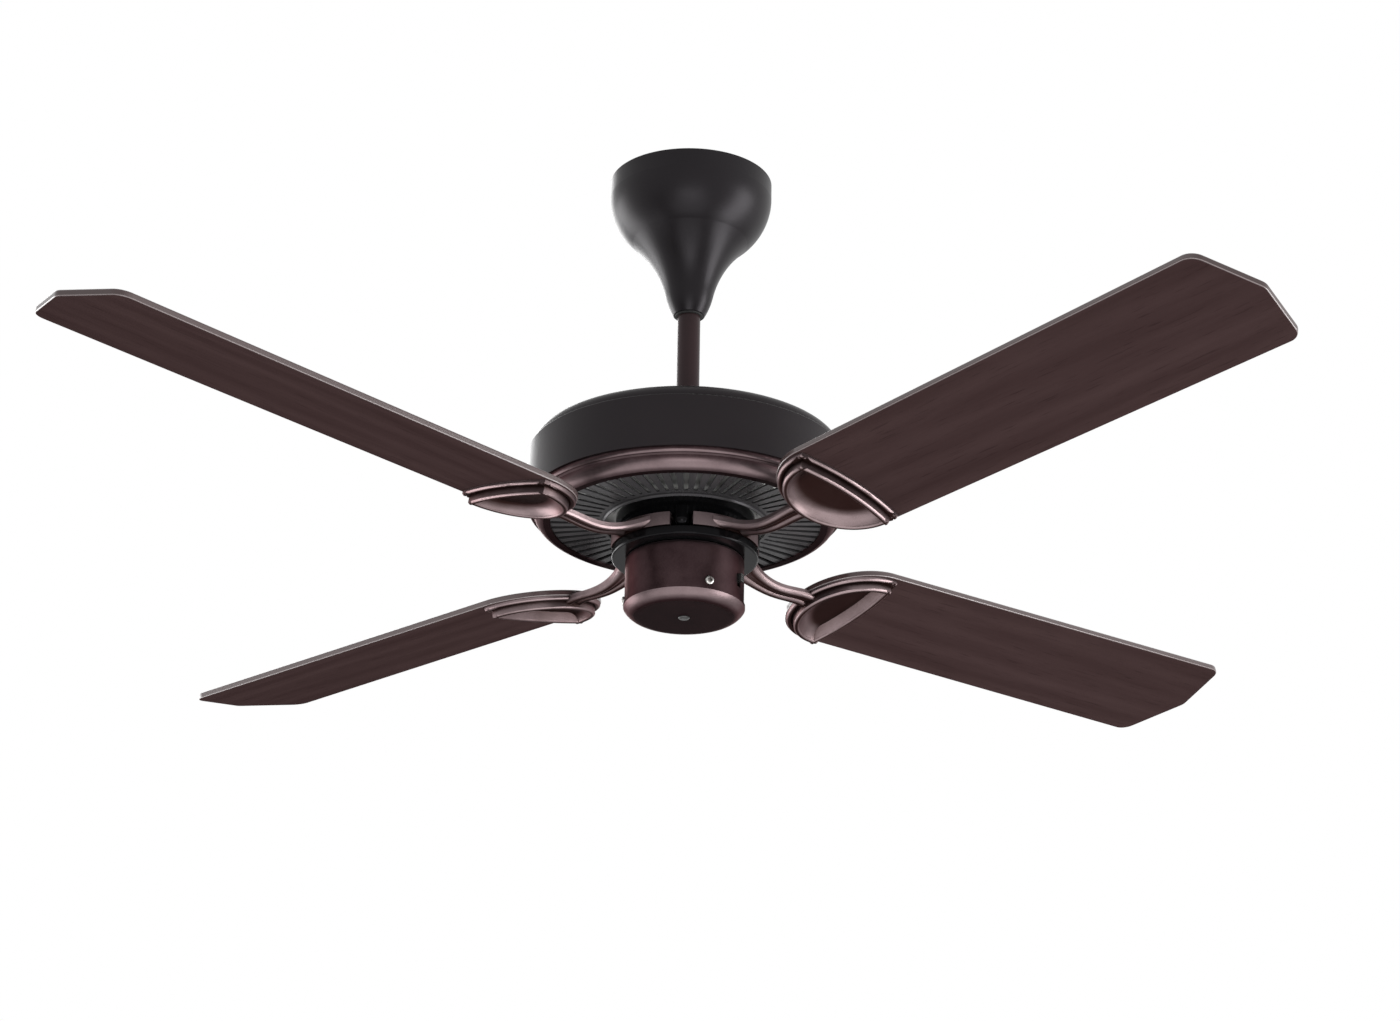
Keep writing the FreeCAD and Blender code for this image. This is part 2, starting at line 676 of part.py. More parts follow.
# Stepped ring under the drum, and the vent plate that lies on its ledge
trim = body("trim_ring")
steps = sketch(trim, "ring_section")
draw(steps, [
    ("spigot_rad", "drum_foot + spigot_rise"), ("spigot_rad - ring_thick", "drum_foot + spigot_rise"),
    ("spigot_rad - ring_thick", "bead_top + bead_bend / 2"),
    ("bead_end_rad - ring_thick", "bead_end + ring_thick"),
    ("band_top_rad - ring_thick", "band_top + ring_thick"),
    ("ledge_rad", "ledge + plate_thick + ring_thick"),
    ("ledge_rad", "ledge"), ("ring_hole_rad", "ledge"), ("ring_hole_rad", "ring_foot"),
    ("band_foot_rad", "ring_foot", "band_bend", 1), ("band_top_rad", "band_top"),
    ("bead_end_rad", "bead_end", "bead_bend", 1), ("spigot_rad", "bead_top"),
])
revolve(trim, steps)

vent = body("vent_plate")
rim = sketch(vent, "plate_section")
draw(rim, [
    ("plate_hole_rad", "ledge - lip_drop"), ("plate_hole_rad + lip_wide / 2", "ledge - lip_drop"),
    ("plate_hole_rad + lip_wide", "ledge - lip_drop / 2"), ("plate_hole_rad + lip_wide", "ledge"),
    ("ledge_rad - bolt_gap", "ledge"), ("ledge_rad - bolt_gap", "ledge + plate_thick"),
    ("plate_hole_rad", "ledge + plate_thick"),
])
revolve(vent, rim)
slot = sketch(vent, "vent_slot", at(height="ledge"))
draw(slot, [
    ("vent_in_rad", "-vent_wide / 3"), ("vent_out_rad", "-vent_wide / 2", "vent_wide * half_bend_share", 1),
    ("vent_out_rad", "vent_wide / 2"),
    ("vent_in_rad", "vent_wide / 3", "vent_wide * half_bend_share * 2 / 3", 1),
])
around(vent, [cut(vent, slot, "4 * plate_thick + overrun")], "vent_count")

# Motor: slotted stator with its coil on the shaft, and the cast rotor that runs round it
stator = body("stator")
core = sketch(stator, "core")
draw(core, [
    ("shaft_rad + fit_gap", "stator_foot"), ("coil_in_rad", "stator_foot"),
    ("coil_in_rad", "stator_foot - coil_reach"),
    ("coil_out_rad", "stator_foot - coil_reach"), ("coil_out_rad", "stator_foot"),
    ("stator_rad", "stator_foot"),
    ("stator_rad", "stator_top"), ("coil_out_rad", "stator_top"),
    ("coil_out_rad", "stator_top + coil_reach"),
    ("coil_in_rad", "stator_top + coil_reach"), ("coil_in_rad", "stator_top"),
    ("shaft_rad + fit_gap", "stator_top"),
])
revolve(stator, core)
gap = sketch(stator, "stator_slot", at(height="stator_foot"))
ring(gap, "stator_slot_rad", "stator_rad - stator_slot_rad / 2")
around(stator, [cut(stator, gap, "2 * (stator_top - stator_foot) + overrun")], "stator_slot_count")

rotor = body("rotor")
cast = sketch(rotor, "rotor_section")
bore, room = "shaft_rad + run_gap", "stator_rad + air_gap"
draw(cast, [
    (bore, "hub_top"), ("rotor_neck_rad", "hub_top"), ("rotor_neck_rad", "rotor_foot"),
    ("rotor_rad - rotor_bevel", "rotor_foot"), ("rotor_rad", "rotor_foot + rotor_bevel"),
    ("rotor_rad", "rotor_top - rotor_bevel"), ("rotor_rad - rotor_bevel", "rotor_top"),
    ("bearing_rad", "rotor_top"),
    ("bearing_rad", "rotor_top + bearing_rise"), (bore, "rotor_top + bearing_rise"),
    (bore, "rotor_top - rotor_web"),
    (room, "rotor_top - rotor_web"), (room, "rotor_foot + rotor_web"), (bore, "rotor_foot + rotor_web"),
])
revolve(rotor, cast)

# Hub below the rotor: it carries the irons and has a round-ended lug in each gap between them
hub = body("hub", iron_place(0))
disc = sketch(hub, "hub_section")
draw(disc, [
    ("hub_bore_rad", "hub_foot"), ("hub_rad", "hub_foot"),
    ("hub_rad", "hub_top"), ("hub_bore_rad", "hub_top"),
])
revolve(hub, disc)
taps = []
for side in (-1, 1):
    turn = "rotationz(%d * foot_screw_angle)" % side
    tap = sketch(hub, "hub_tap_%d" % (side + 1), at(height="hub_foot", turn=turn))
    ring(tap, "foot_screw_rad + fit_gap", "foot_screw_ring")
    taps.append(pad(hub, tap, "foot_screw_deep + slack", kind="Pocket", down=True))
around(hub, taps, "iron_count")
gap_turn = at(turn="rotationz(180 / iron_count)")
lug = sketch(hub, "lug", gap_turn + " * " + at("lug_ring", turn=UPRIGHT))
draw(lug, [
    ("0", "lug_foot", "lug_rad", 1), ("lug_rad", "lug_foot + lug_rad"),
    ("lug_rad", "lug_top"), ("0", "lug_top"),
])
around(hub, [revolve(hub, lug)], "iron_count")

# Blade irons: a band foot under the hub, a ribbed arm, and a leaf with a double bead round a dished floor
BLADE_SCREWS = (("screw_in_at", "0"), ("screw_out_at", "screw_half"), ("screw_out_at", "-screw_half"))
STATIONS = ("root", "bend", "dip", "mid", "end")


def arm_section(iron, tag, number):
    """Cross-section of the arm: flat top, two rounded ribs below and a groove between them."""
    station = "arm_%s_" % STATIONS[number]
    roll = "rotationx(blade_pitch_angle * %d / %d)" % (number, len(STATIONS) - 1)
    spot = at(station + "rad", "0", station + "high", roll + " * rotationz(90) * rotationx(90)")
    plan = sketch(iron, tag + STATIONS[number], spot)
    wide, half, thick = station + "wide", "(%swide / 2)" % station, "(%sthick / 2)" % station
    rib, groove = "%s * rib_share" % wide, "%s * groove_share" % wide
    low, bend = "-%sthick * rib_high_share" % station, "%s * rib_bend_share" % wide
    draw(plan, [
        (half, "0"), (half, thick), ("-" + half, thick), ("-" + half, "0"),
        ("-" + rib, low, bend, 1), ("-" + groove, low), (groove, low, bend, 1), (rib, low),
    ])
    return plan


def mitre(iron, name, out, height):
    """Trim the corners of the leaf to its two arcs, widened by a length, below a height."""
    rim, chord = "(leaf_rad + %s)" % out, "(leaf_chord_rad + %s)" % out
    reach = "leaf_chord_rad - leaf_chord_out"
    across = "((%s)^2 + %s^2 - %s^2) / (2 * (%s))" % (reach, chord, rim, reach)
    corner = "leaf_centre - %s + %s" % ("(%s)" % reach, across)
    half = "sqrt(%s^2 - (%s)^2)" % (chord, across)
    plan = sketch(iron, name, LEAF + " * " + at(height=height))
    draw(plan, [
        (corner, "-(%s)" % half, chord, 1), (corner, half, rim, 1), ("leaf_centre - " + rim, "0", rim, 1),
    ])
    ring(plan, "leaf_rad + 6 * bead_half", "leaf_centre")
    pad(iron, plan, "bead_start + 2 * bead_round", kind="Pocket")


def build_iron(number):
    """One blade iron with its foot, arm and leaf."""
    iron = body("blade_iron_%d" % (number + 1), iron_place(number))
    tag = "iron_%d_" % (number + 1)
    rim = sketch(iron, tag + "rim", LEAF + " * " + at("leaf_centre", turn="rotationz(180) * " + UPRIGHT))
    draw(rim, [
        ("leaf_rad + bead_half", "0"), ("leaf_rad - bead_half - leaf_cove", "0"),
        ("leaf_rad - bead_half - leaf_cove", "-leaf_floor", "leaf_bend", -1),
        ("leaf_rad - bead_half", "-bead_start", "bead_round", 1), ("leaf_rad", "-bead_start"),
        ("leaf_rad", "-bead_low", "bead_round", 1), ("leaf_rad + bead_half", "-bead_low"),
    ])
    revolve(iron, rim, "leaf_sweep")
    chord = sketch(iron, tag + "chord", LEAF + " * " + at("leaf_chord_at - leaf_chord_rad", turn=UPRIGHT))
    draw(chord, [
        ("leaf_chord_rad + bead_half", "0"), ("leaf_chord_rad - bead_half - chord_cove", "0"),
        ("leaf_chord_rad - bead_half - chord_cove", "-leaf_floor"),
        ("leaf_chord_rad - bead_half", "-bead_start", "bead_round", 1), ("leaf_chord_rad", "-bead_start"),
        ("leaf_chord_rad", "-bead_low", "bead_round", 1), ("leaf_chord_rad + bead_half", "-bead_low"),
    ])
    revolve(iron, chord, "leaf_chord_sweep")
    floor = sketch(iron, tag + "floor", LEAF)
    draw(floor, [
        ("leaf_edge_at", "-leaf_edge_half"), ("leaf_edge_at", "leaf_edge_half", "floor_rad", 1),
        ("leaf_centre - floor_rad", "0", "floor_rad", 1),
    ])
    pad(iron, floor, "leaf_floor", down=True)
    mitre(iron, tag + "outer", "bead_half", "0")
    mitre(iron, tag + "inner", "0", "-bead_crest - fit_gap / 4")
    foot = sketch(iron, tag + "foot")
    inner = "foot_out_rad - foot_band"
    draw(foot, [
        ("foot_in_rad", "hub_foot - foot_flange"), (inner, "hub_foot - foot_flange"),
        (inner, "hub_foot - foot_drop"),
        ("foot_out_rad", "hub_foot - foot_drop"), ("foot_out_rad", "hub_foot"), ("foot_in_rad", "hub_foot"),
    ])
    revolve(iron, foot, "foot_angle")
    arm = iron.newObject("PartDesign::AdditiveLoft", tag + "arm")
    plans = [arm_section(iron, tag, k) for k in range(len(STATIONS))]
    arm.Profile = plans[0]
    arm.Sections = plans[1:]
    seat = sketch(iron, tag + "seat", LEAF)
    ring(seat, "blade_root_half + slack", "leaf_centre")
    pad(iron, seat, "arm_end_thick", kind="Pocket", down=True)
    for side in (-1, 1):
        spot = at(height="hub_foot", turn="rotationz(%d * foot_screw_angle)" % side)
        hole = sketch(iron, tag + "hole_%d" % (side + 1), spot)
        ring(hole, "foot_screw_rad + bolt_gap", "foot_screw_ring")
        cut(iron, hole, "2 * foot_flange + overrun")
    taps = sketch(iron, tag + "taps", LEAF)
    for radial, across in BLADE_SCREWS:
        ring(taps, "blade_screw_rad + fit_gap", radial, across)
    pad(iron, taps, "blade_screw_deep + slack / 2", kind="Pocket")


for number in range(SIZES["iron_count"]):
    build_iron(number)

fixings = body("iron_screws", iron_place(0))
made = []
for side in (-1, 1):
    turn = at(turn="rotationz(%d * foot_screw_angle)" % side)
    seat = at("foot_screw_ring", "0", "hub_foot - foot_flange", LYING)
    plan = sketch(fixings, "iron_screw_%d" % (side + 1), turn + " * " + seat)
    pan_head(plan, "foot_screw_head_rad", "foot_screw_head", "foot_screw_rad", "foot_flange + foot_screw_deep")
    made.append(revolve(fixings, plan))
around(fixings, made, "iron_count")


# Blades: rounded root, flaring sides and a blunt pointed tip
def build_blade(number):
    """One wooden blade lying on its iron's leaf."""
    blade = body("blade_%d" % (number + 1), iron_place(number) + " * " + LEAF)
    tag = "blade_%d_" % (number + 1)
    plan = sketch(blade, tag + "outline", at())
    draw(plan, [
        ("blade_reach", "0"), ("blade_corner_at", "blade_tip_half"),
        ("leaf_centre", "blade_root_half", "2 * blade_root_half * half_bend_share", 1),
        ("leaf_centre", "-blade_root_half"), ("blade_corner_at", "-blade_tip_half"),
    ])
    pad(blade, plan, "blade_thick")
    thick = value("blade_thick")

    def near(edge, radial, across):
        mid = edge.CenterOfMass
        off = math.hypot(mid.x - value(radial), abs(mid.y) - value(across))
        return edge.BoundBox.ZLength > thick / 2 and off < thick

    soften(blade, "blade_corner_round", lambda e: near(e, "blade_corner_at", "blade_tip_half"))
    soften(blade, "blade_apex_round", lambda e: near(e, "blade_reach", "0"))
    soften(blade, "blade_edge_round", lambda e: e.BoundBox.ZLength < thick / 4)
    holes = sketch(blade, tag + "holes", at())
    for radial, across in BLADE_SCREWS:
        ring(holes, "blade_screw_rad + bolt_gap", radial, across)
    cut(blade, holes, "2 * blade_thick + overrun")


for number in range(SIZES["iron_count"]):
    build_blade(number)

washers, tops = body("blade_washers", iron_place(0)), body("blade_screws", iron_place(0))
washers_made, tops_made = [], []
for k, (radial, across) in enumerate(BLADE_SCREWS):
    plan = sketch(washers, "blade_washer_%d" % k, LEAF + " * " + at(radial, across, "blade_thick", UPRIGHT))
    draw(plan, [("blade_screw_rad + fit_gap", "0"), ("washer_rad", "0"), ("washer_rad", "washer_thick"),
                ("blade_screw_rad + fit_gap", "washer_thick")])
    washers_made.append(revolve(washers, plan))
    seat = at(radial, across, "blade_thick + washer_thick", UPRIGHT)
    plan = sketch(tops, "blade_screw_%d" % k, LEAF + " * " + seat)
    deep = "washer_thick + blade_thick + blade_screw_deep"
    pan_head(plan, "blade_screw_head_rad", "blade_screw_head", "blade_screw_rad", deep)
    tops_made.append(revolve(tops, plan))
around(washers, washers_made, "iron_count")
around(tops, tops_made, "iron_count")


# Switch cup on the shaft's tail, its nut, cap, side screws and plug
def side_on(owner, name, angle, radius, height="0"):
    """A sketch that faces outwards on the cup's side, its height upright."""
    turn = at(turn="rotationz(%s)" % angle)
    return sketch(owner, name, turn + " * " + at(radius, "0", height, "rotationz(90) * rotationx(90)"))


tray = body("cup_tray")
dish = sketch(tray, "tray_section")
draw(dish, [
    ("shaft_rad + fit_gap", "cup_top"), ("tray_rad - tray_round", "cup_top", "tray_round", 1),
    ("tray_rad", "cup_top + tray_round"), ("tray_rad", "tray_top"), ("tray_rad - tray_wall", "tray_top"),
    ("tray_rad - tray_wall", "tray_floor"), ("shaft_rad + fit_gap", "tray_floor"),
])
revolve(tray, dish)

cup = body("switch_cup")
section = sketch(cup, "cup_section")
draw(section, [
    ("shaft_rad + fit_gap", "cup_top"), ("shaft_rad + fit_gap", "cup_under"),
    ("cup_rad - cup_round", "cup_under", "cup_round - cup_wall", -1), ("cup_in_rad", "cup_top - cup_round"),
    ("cup_in_rad", "cup_foot"), ("cup_rad", "cup_foot"),
    ("cup_rad", "cup_top - cup_round", "cup_round", 1), ("cup_rad - cup_round", "cup_top"),
])
revolve(cup, section)
bore = side_on(cup, "cup_screw_hole", "cup_screw_angle", "cup_rad", "cup_screw_high")
ring(bore, "pan_shank_rad + bolt_gap")
around(cup, [cut(cup, bore, "2 * cup_screw_deep")], "cup_screw_count")
window = side_on(cup, "switch_window", "switch_angle", "cup_rad", "switch_high")
box(window, "knob_wide + 2 * knob_gap", "-switch_travel - knob_tall / 2 - knob_gap", "knob_tall / 2 + knob_gap")
cut(cup, window, "2 * cup_screw_deep")

nut = body("shaft_nut")
six = sketch(nut, "shaft_nut_plan", at(height="cup_under"))
hexagon(six, "nut_flats")
ring(six, "shaft_rad + fit_gap")
pad(nut, six, "nut_thick", down=True)

cap = body("switch_cap")
dish = sketch(cap, "cap_section")
draw(dish, [
    ("plug_shank_rad + fit_gap", "cap_foot"), ("cap_flat_rad", "cap_foot", "cap_bend", 1),
    ("cap_rad", "cup_foot - cap_side"), ("cap_rad", "cup_foot"), ("skirt_rad", "cup_foot"),
    ("skirt_rad", "cup_foot + skirt_rise"), ("skirt_rad - cap_wall", "cup_foot + skirt_rise"),
    ("skirt_rad - cap_wall", "cup_foot - cap_side"), ("cap_flat_rad", "cap_foot + cap_wall"),
    ("plug_shank_rad + fit_gap", "cap_foot + cap_wall"),
])
revolve(cap, dish)
bore = side_on(cap, "cap_screw_hole", "cup_screw_angle", "cup_rad", "cup_screw_high")
ring(bore, "pan_shank_rad + fit_gap")
around(cap, [cut(cap, bore, "2 * cup_screw_deep")], "cup_screw_count")

fixings = body("cup_screws")
turn = at(turn="rotationz(cup_screw_angle)")
seat = at("cup_rad", "0", "cup_screw_high", "rotationy(90) * rotationx(90)")
pan = sketch(fixings, "cup_screw", turn + " * " + seat)
pan_head(pan, "pan_rad", "pan_tall", "pan_shank_rad", "cup_screw_deep")
around(fixings, [revolve(fixings, pan)], "cup_screw_count")

plug = body("cap_plug")
pan = sketch(plug, "plug_section", at(height="cap_foot", turn=LYING))
pan_head(pan, "plug_rad", "plug_tall", "plug_shank_rad", "2 * cap_wall")
revolve(plug, pan)

# Reversing switch: a body hung from the cup's top behind its window, and the knob that slides in it
case = body("switch_body")
block = side_on(case, "switch_block", "switch_angle", "switch_face")
box(block, "switch_wide", "switch_foot", "cup_under")
pad(case, block, "switch_deep", down=True)

knob = body("switch_knob")
tongue = side_on(knob, "knob_plan", "switch_angle", "switch_face + fit_gap", "switch_high")
box(tongue, "knob_wide", "-knob_tall / 2", "knob_tall / 2")
pad(knob, tongue, "knob_reach - switch_face - fit_gap")

doc.recompute()
os.makedirs("parts", exist_ok=True)
faults = [o.Label for o in doc.Objects if {"Invalid", "Error"} & set(o.State)]
faults += [o.Label for o in finished if o.Shape.isNull() or not o.Shape.isValid()]
if faults:
    raise RuntimeError("not built: " + ", ".join(faults))
for made in finished:
    made.Shape.exportStep("parts/%s.step" % made.Label)
    print(made.Label, len(made.Shape.Solids), "solids")
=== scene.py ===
import math

import bmesh
import bpy
import numpy
from bpy.props import FloatProperty, FloatVectorProperty, IntProperty, PointerProperty
from mathutils import Matrix, Vector


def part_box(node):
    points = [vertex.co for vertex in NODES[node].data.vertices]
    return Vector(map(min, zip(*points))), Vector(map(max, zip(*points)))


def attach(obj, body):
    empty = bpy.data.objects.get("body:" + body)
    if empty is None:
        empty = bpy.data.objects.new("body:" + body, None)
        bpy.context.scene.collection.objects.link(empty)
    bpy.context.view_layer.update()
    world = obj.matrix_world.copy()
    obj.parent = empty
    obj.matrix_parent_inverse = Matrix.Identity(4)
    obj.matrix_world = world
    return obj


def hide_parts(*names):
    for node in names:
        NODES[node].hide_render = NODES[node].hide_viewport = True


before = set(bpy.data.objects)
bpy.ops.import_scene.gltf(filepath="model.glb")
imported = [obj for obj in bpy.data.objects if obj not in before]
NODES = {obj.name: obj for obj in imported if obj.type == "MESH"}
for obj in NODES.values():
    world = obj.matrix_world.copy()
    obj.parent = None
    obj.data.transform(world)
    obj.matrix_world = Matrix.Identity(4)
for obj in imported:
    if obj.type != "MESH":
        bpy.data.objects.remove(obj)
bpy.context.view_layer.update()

bl_info = {
    "name": "Ceiling fan dresser",
    "version": (1, 0, 0),
    "blender": (4, 5, 0),
    "location": "3D View > Sidebar > Fan",
    "description": "Finishes, screws and studio for a downrod ceiling fan with wooden blades",
    "category": "Object",
}

BLADES = 4
WHITE = (1, 1, 1, 1)


def colour(label, note, rgb):
    """A colour property in linear light."""
    return FloatVectorProperty(name=label, description=note, default=rgb, size=3, min=0, max=1,
                               subtype="COLOR")


def length(label, note, metres):
    """A length property in metres."""
    return FloatProperty(name=label, description=note, default=metres, unit="LENGTH", precision=5)


def angle(label, note, degrees):
    """An angle property, written in degrees."""
    return FloatProperty(name=label, description=note, default=math.radians(degrees), unit="ROTATION")


def share(label, note, amount):
    """A plain factor."""
    return FloatProperty(name=label, description=note, default=amount, min=0, max=10)


def cells(label, note, count):
    """The cells of a texture in a metre."""
    return FloatProperty(name=label, description=note, default=count, min=1)


def radiance(label, note, amount):
    """The brightness of a lamp's face."""
    return FloatProperty(name=label, description=note, default=amount, min=0)


class FanFinishes(bpy.types.PropertyGroup):
    """Colours and surface scales of the fan's finishes."""
    canopy: colour("Canopy enamel", "Satin black of the canopy", (0.0078, 0.0066, 0.0074))
    drum: colour("Drum enamel", "Brown-black of the drum", (0.0078, 0.0056, 0.0061))
    rod: colour("Downrod enamel", "Dark brown of the downrod", (0.0240, 0.0128, 0.0132))
    bronze_deep: colour("Bronze, deep", "Dark tone of the bronze lacquer", (0.030, 0.0172, 0.0190))
    bronze_rubbed: colour("Bronze, rubbed", "Light tone of the bronze lacquer", (0.058, 0.036, 0.0385))
    # Painted highlight: the light bronze laid on the slopes of the trim ring, cup and cap
    bronze_sheen: colour("Bronze, worn", "Bronze worn bright on its slopes", (0.142, 0.106, 0.110))
    iron_deep: colour("Iron bronze, deep", "Dark tone of the irons' bronze", (0.034, 0.0186, 0.0168))
    iron_rubbed: colour("Iron bronze, rubbed", "Light tone of the irons' bronze", (0.062, 0.0400, 0.0390))
    # Painted highlight: the light bronze laid on the irons' beads and slopes
    iron_sheen: colour("Iron bronze, worn", "Irons' bronze worn bright on beads", (0.240, 0.184, 0.189))
    vent: colour("Vent plate", "Black of the slotted plate", (0.024, 0.023, 0.024))
    gloss: colour("Hub black", "Gloss black of the hub and tray", (0.0022, 0.0022, 0.0024))
    wood_dark: colour("Wood, dark", "Dark streaks of the rosewood face", (0.0208, 0.0117, 0.0116))
    wood_light: colour("Wood, light", "Light bands of the rosewood face", (0.0366, 0.0224, 0.0222))
    # Painted highlight: the pale colour laid along the blades' rounded edges
    wood_edge_sheen: colour("Wood, edge", "Lacquer worn pale along the blades' edges", (0.165, 0.138, 0.138))
    steel: colour("Steel", "Plated steel", (0.52, 0.51, 0.49))
    blackened: colour("Blackened steel", "Oxide-black screws", (0.030, 0.027, 0.027))
    alloy: colour("Alloy", "Cast rotor", (0.46, 0.46, 0.45))
    copper: colour("Copper", "Lacquered coil wire", (0.50, 0.19, 0.075))
    fibre: colour("Fibre", "Red fibre washers", (0.20, 0.035, 0.022))
    plastic: colour("Plastic", "Black switch mouldings", (0.010, 0.010, 0.010))
    grip: colour("Grip rubber", "Rubber ring in the canopy's neck", (0.012, 0.012, 0.012))
    roller: colour("Roller rubber", "Rubber roller of the shackle", (0.014, 0.014, 0.014))
    grain: cells("Grain", "Wood streaks across a metre", 62.0)
    grit: cells("Grit", "Paint texture cells in a metre", 1400.0)


class FanHardware(bpy.types.PropertyGroup):
    """Form of the pan-head screws, in shares of the heads they stand for, and of the switch mouldings."""
    sides: IntProperty(name="Sides", description="Faces round a screw", default=36, min=12)
    flat: share("Flat", "Radius of the head's flat crown over the head's radius", 0.50)
    arm: share("Recess reach", "Reach of the cross recess over the head's radius", 0.44)
    width: share("Recess width", "Half width of the cross recess over the head's radius", 0.10)
    sink: share("Recess depth", "Depth of the cross recess over the head's height", 0.62)
    taper: share("Recess taper", "Width at the recess's floor over its width at the crown", 0.62)
    ridges: IntProperty(name="Ridges", description="Grip ridges across the slide", default=4, min=2)
    ridge_deep: length("Ridge depth", "Depth of the grooves between the slide's ridges", 0.0007)
    soft_edge: length("Soft edge", "Rounding of the moulded edges", 0.0003)


class FanStudio(bpy.types.PropertyGroup):
    """Camera, floor and lamps."""
    lens: FloatProperty(name="Lens", description="Focal length", default=102.47, unit="CAMERA")
    back: length("Back", "Camera's distance in front of the axis", 3.225918)
    below: length("Below", "Camera's depth below the ceiling", 1.667774)
    tilt: angle("Tilt", "Upward tilt", 22.6836)
    turn: angle("Turn", "Turn to the right", 0.22266)
    roll: angle("Roll", "Roll of the picture", -0.882)
    floor: length("Floor", "Depth of the floor below the ceiling", 2.55)
    reach: length("Floor reach", "Half the floor's width", 40.0)
    fade_near: length("Fade start", "Distance from the ceiling mount at which the floor starts to fade", 4.0)
    fade_far: length("Fade end", "Distance from the ceiling mount at which the floor is white", 13.0)
    key: radiance("Key", "Radiance of the left lamp", 5.6)
    fill: radiance("Fill", "Radiance of the right lamp", 7.6)
    bounce: radiance("Bounce", "Radiance of the panel below", 1.2)
    front: radiance("Front", "Radiance of the low front panel", 4.0)
    crown: radiance("Crown", "Radiance of the upper back lamp", 4.0)
    ambient: share("Ambient", "Strength of the room's soft light", 0.70)


class Wire:
    """A value that varies over a surface; arithmetic on it adds Math nodes."""

    def __init__(self, finish, socket):
        self.finish, self.socket = finish, socket

    def maths(self, operation, *terms):
        """A Math node's result."""
        return self.finish.node("ShaderNodeMath", {"operation": operation}, dict(enumerate(terms)))["Value"]

    def __add__(self, other):
        return self.maths("ADD", self, other)

    def __sub__(self, other):
        return self.maths("SUBTRACT", self, other)

    def __rsub__(self, other):
        return self.maths("SUBTRACT", other, self)

    def __mul__(self, other):
        return self.maths("MULTIPLY", self, other)

    def over(self, low, high):
        """The value read from low to high as 0 to 1."""
        span = {"Value": self, "From Min": low, "From Max": high}
        return self.finish.node("ShaderNodeMapRange", {"clamp": True}, span)["Result"]


class Finish:
    """A material, or another tree of shader nodes, whose nodes are made by one method."""
    MIX_FIRST, MIX_SECOND = 6, 7    # the two colour sockets of a Mix node

    def __init__(self, name, tree=None):
        self.material = None
        if tree is None:
            self.material = bpy.data.materials.new(name)
            self.material.use_nodes = True
            tree = self.material.node_tree
        self.tree = tree
        self.tree.nodes.clear()

    def node(self, kind, settings=None, values=None):
        """Add a node: its settings first, then the values or links of its sockets; its outputs by name."""
        made = self.tree.nodes.new(kind)
        for key, setting in (settings or {}).items():
            setattr(made, key, setting)
        for key, value in (values or {}).items():
            socket = made.inputs[key]
            if isinstance(value, Wire):
                self.tree.links.new(value.socket, socket)
            else:
                socket.default_value = value
        return {out.name: Wire(self, out) for out in made.outputs if out.enabled}

    def place(self, turn=0.0):
        """Object coordinates, turned about the fan's axis."""
        spot = self.node("ShaderNodeTexCoord")["Object"]
        if turn:
            spot = self.node("ShaderNodeMapping", {}, {"Vector": spot, "Rotation": (0, 0, turn)})["Vector"]
        return spot

    def stretch(self, spot, scale):
        """Coordinates scaled along each axis; a low scale draws a texture out."""
        return self.node("ShaderNodeMapping", {}, {"Vector": spot, "Scale": scale})["Vector"]

    def level(self):
        """1 on level faces, 0 on upright ones."""
        upright = self.node("ShaderNodeSeparateXYZ", {}, {0: self.node("ShaderNodeTexCoord")["Normal"]})["Z"]
        return upright * upright

    def openness(self, reach, rays):
        """1 on open faces, less where the piece's own walls stand within reach."""
        settings = {"samples": rays, "only_local": True}
        return self.node("ShaderNodeAmbientOcclusion", settings, {"Distance": reach})["AO"]

    def seen(self):
        """1 for what the camera, a reflection or a clear surface shows, 0 for light that spreads."""
        ray = self.node("ShaderNodeLightPath")
        return (ray["Is Camera Ray"] + ray["Is Glossy Ray"] + ray["Is Transmission Ray"]).over(0, 1)

    def noise(self, spot, scale, detail=3.0, rough=0.55, twist=0.0):
        """Soft noise from 0 to 1."""
        values = {"Vector": spot, "Scale": scale, "Detail": detail, "Roughness": rough, "Distortion": twist}
        return self.node("ShaderNodeTexNoise", {}, values)["Fac"]

    def blend(self, amount, first, second):
        """A colour between two colours."""
        first, second = (end if isinstance(end, Wire) else (*end, 1.0) for end in (first, second))
        values = {"Factor": amount, self.MIX_FIRST: first, self.MIX_SECOND: second}
        return self.node("ShaderNodeMix", {"data_type": "RGBA"}, values)["Result"]

    def bump(self, height, strength, distance):
        """A normal bent by a height."""
        values = {"Height": height, "Strength": strength, "Distance": distance}
        return self.node("ShaderNodeBump", {}, values)["Normal"]

    def shade(self, **sockets):
        """Close the material with one shader, its sockets named in small letters."""
        values = {key.replace("_", " ").title().replace("Ior", "IOR"): value
                  for key, value in sockets.items()}
        made = self.node("ShaderNodeBsdfPrincipled", {}, values)["BSDF"]
        self.node("ShaderNodeOutputMaterial", {}, {"Surface": made})
        return self.material


def toned(rgb, factor):
    """A colour made darker or lighter."""
    return [part * factor for part in rgb]


# How far below the written roughness an uneven gloss starts
GLOSS_DROP = 0.08

# Enamel: cells over the grit, tones over the paint's colour, parts of the mottling and gloss, then the shine
PEEL_CELLS, FLECK_CELLS = 0.5, 1.6
ENAMEL_DARK, ENAMEL_LIGHT = 0.78, 1.3
ENAMEL_CLOUD, ENAMEL_FLECK = 0.7, 0.3
ENAMEL_GLOSS_CLOUD, ENAMEL_GLOSS_PEEL = 0.10, 0.05
ENAMEL_BUMP = 0.10
ENAMEL_TINT = (0.98, 0.93, 1.0, 1.0)    # faint mauve


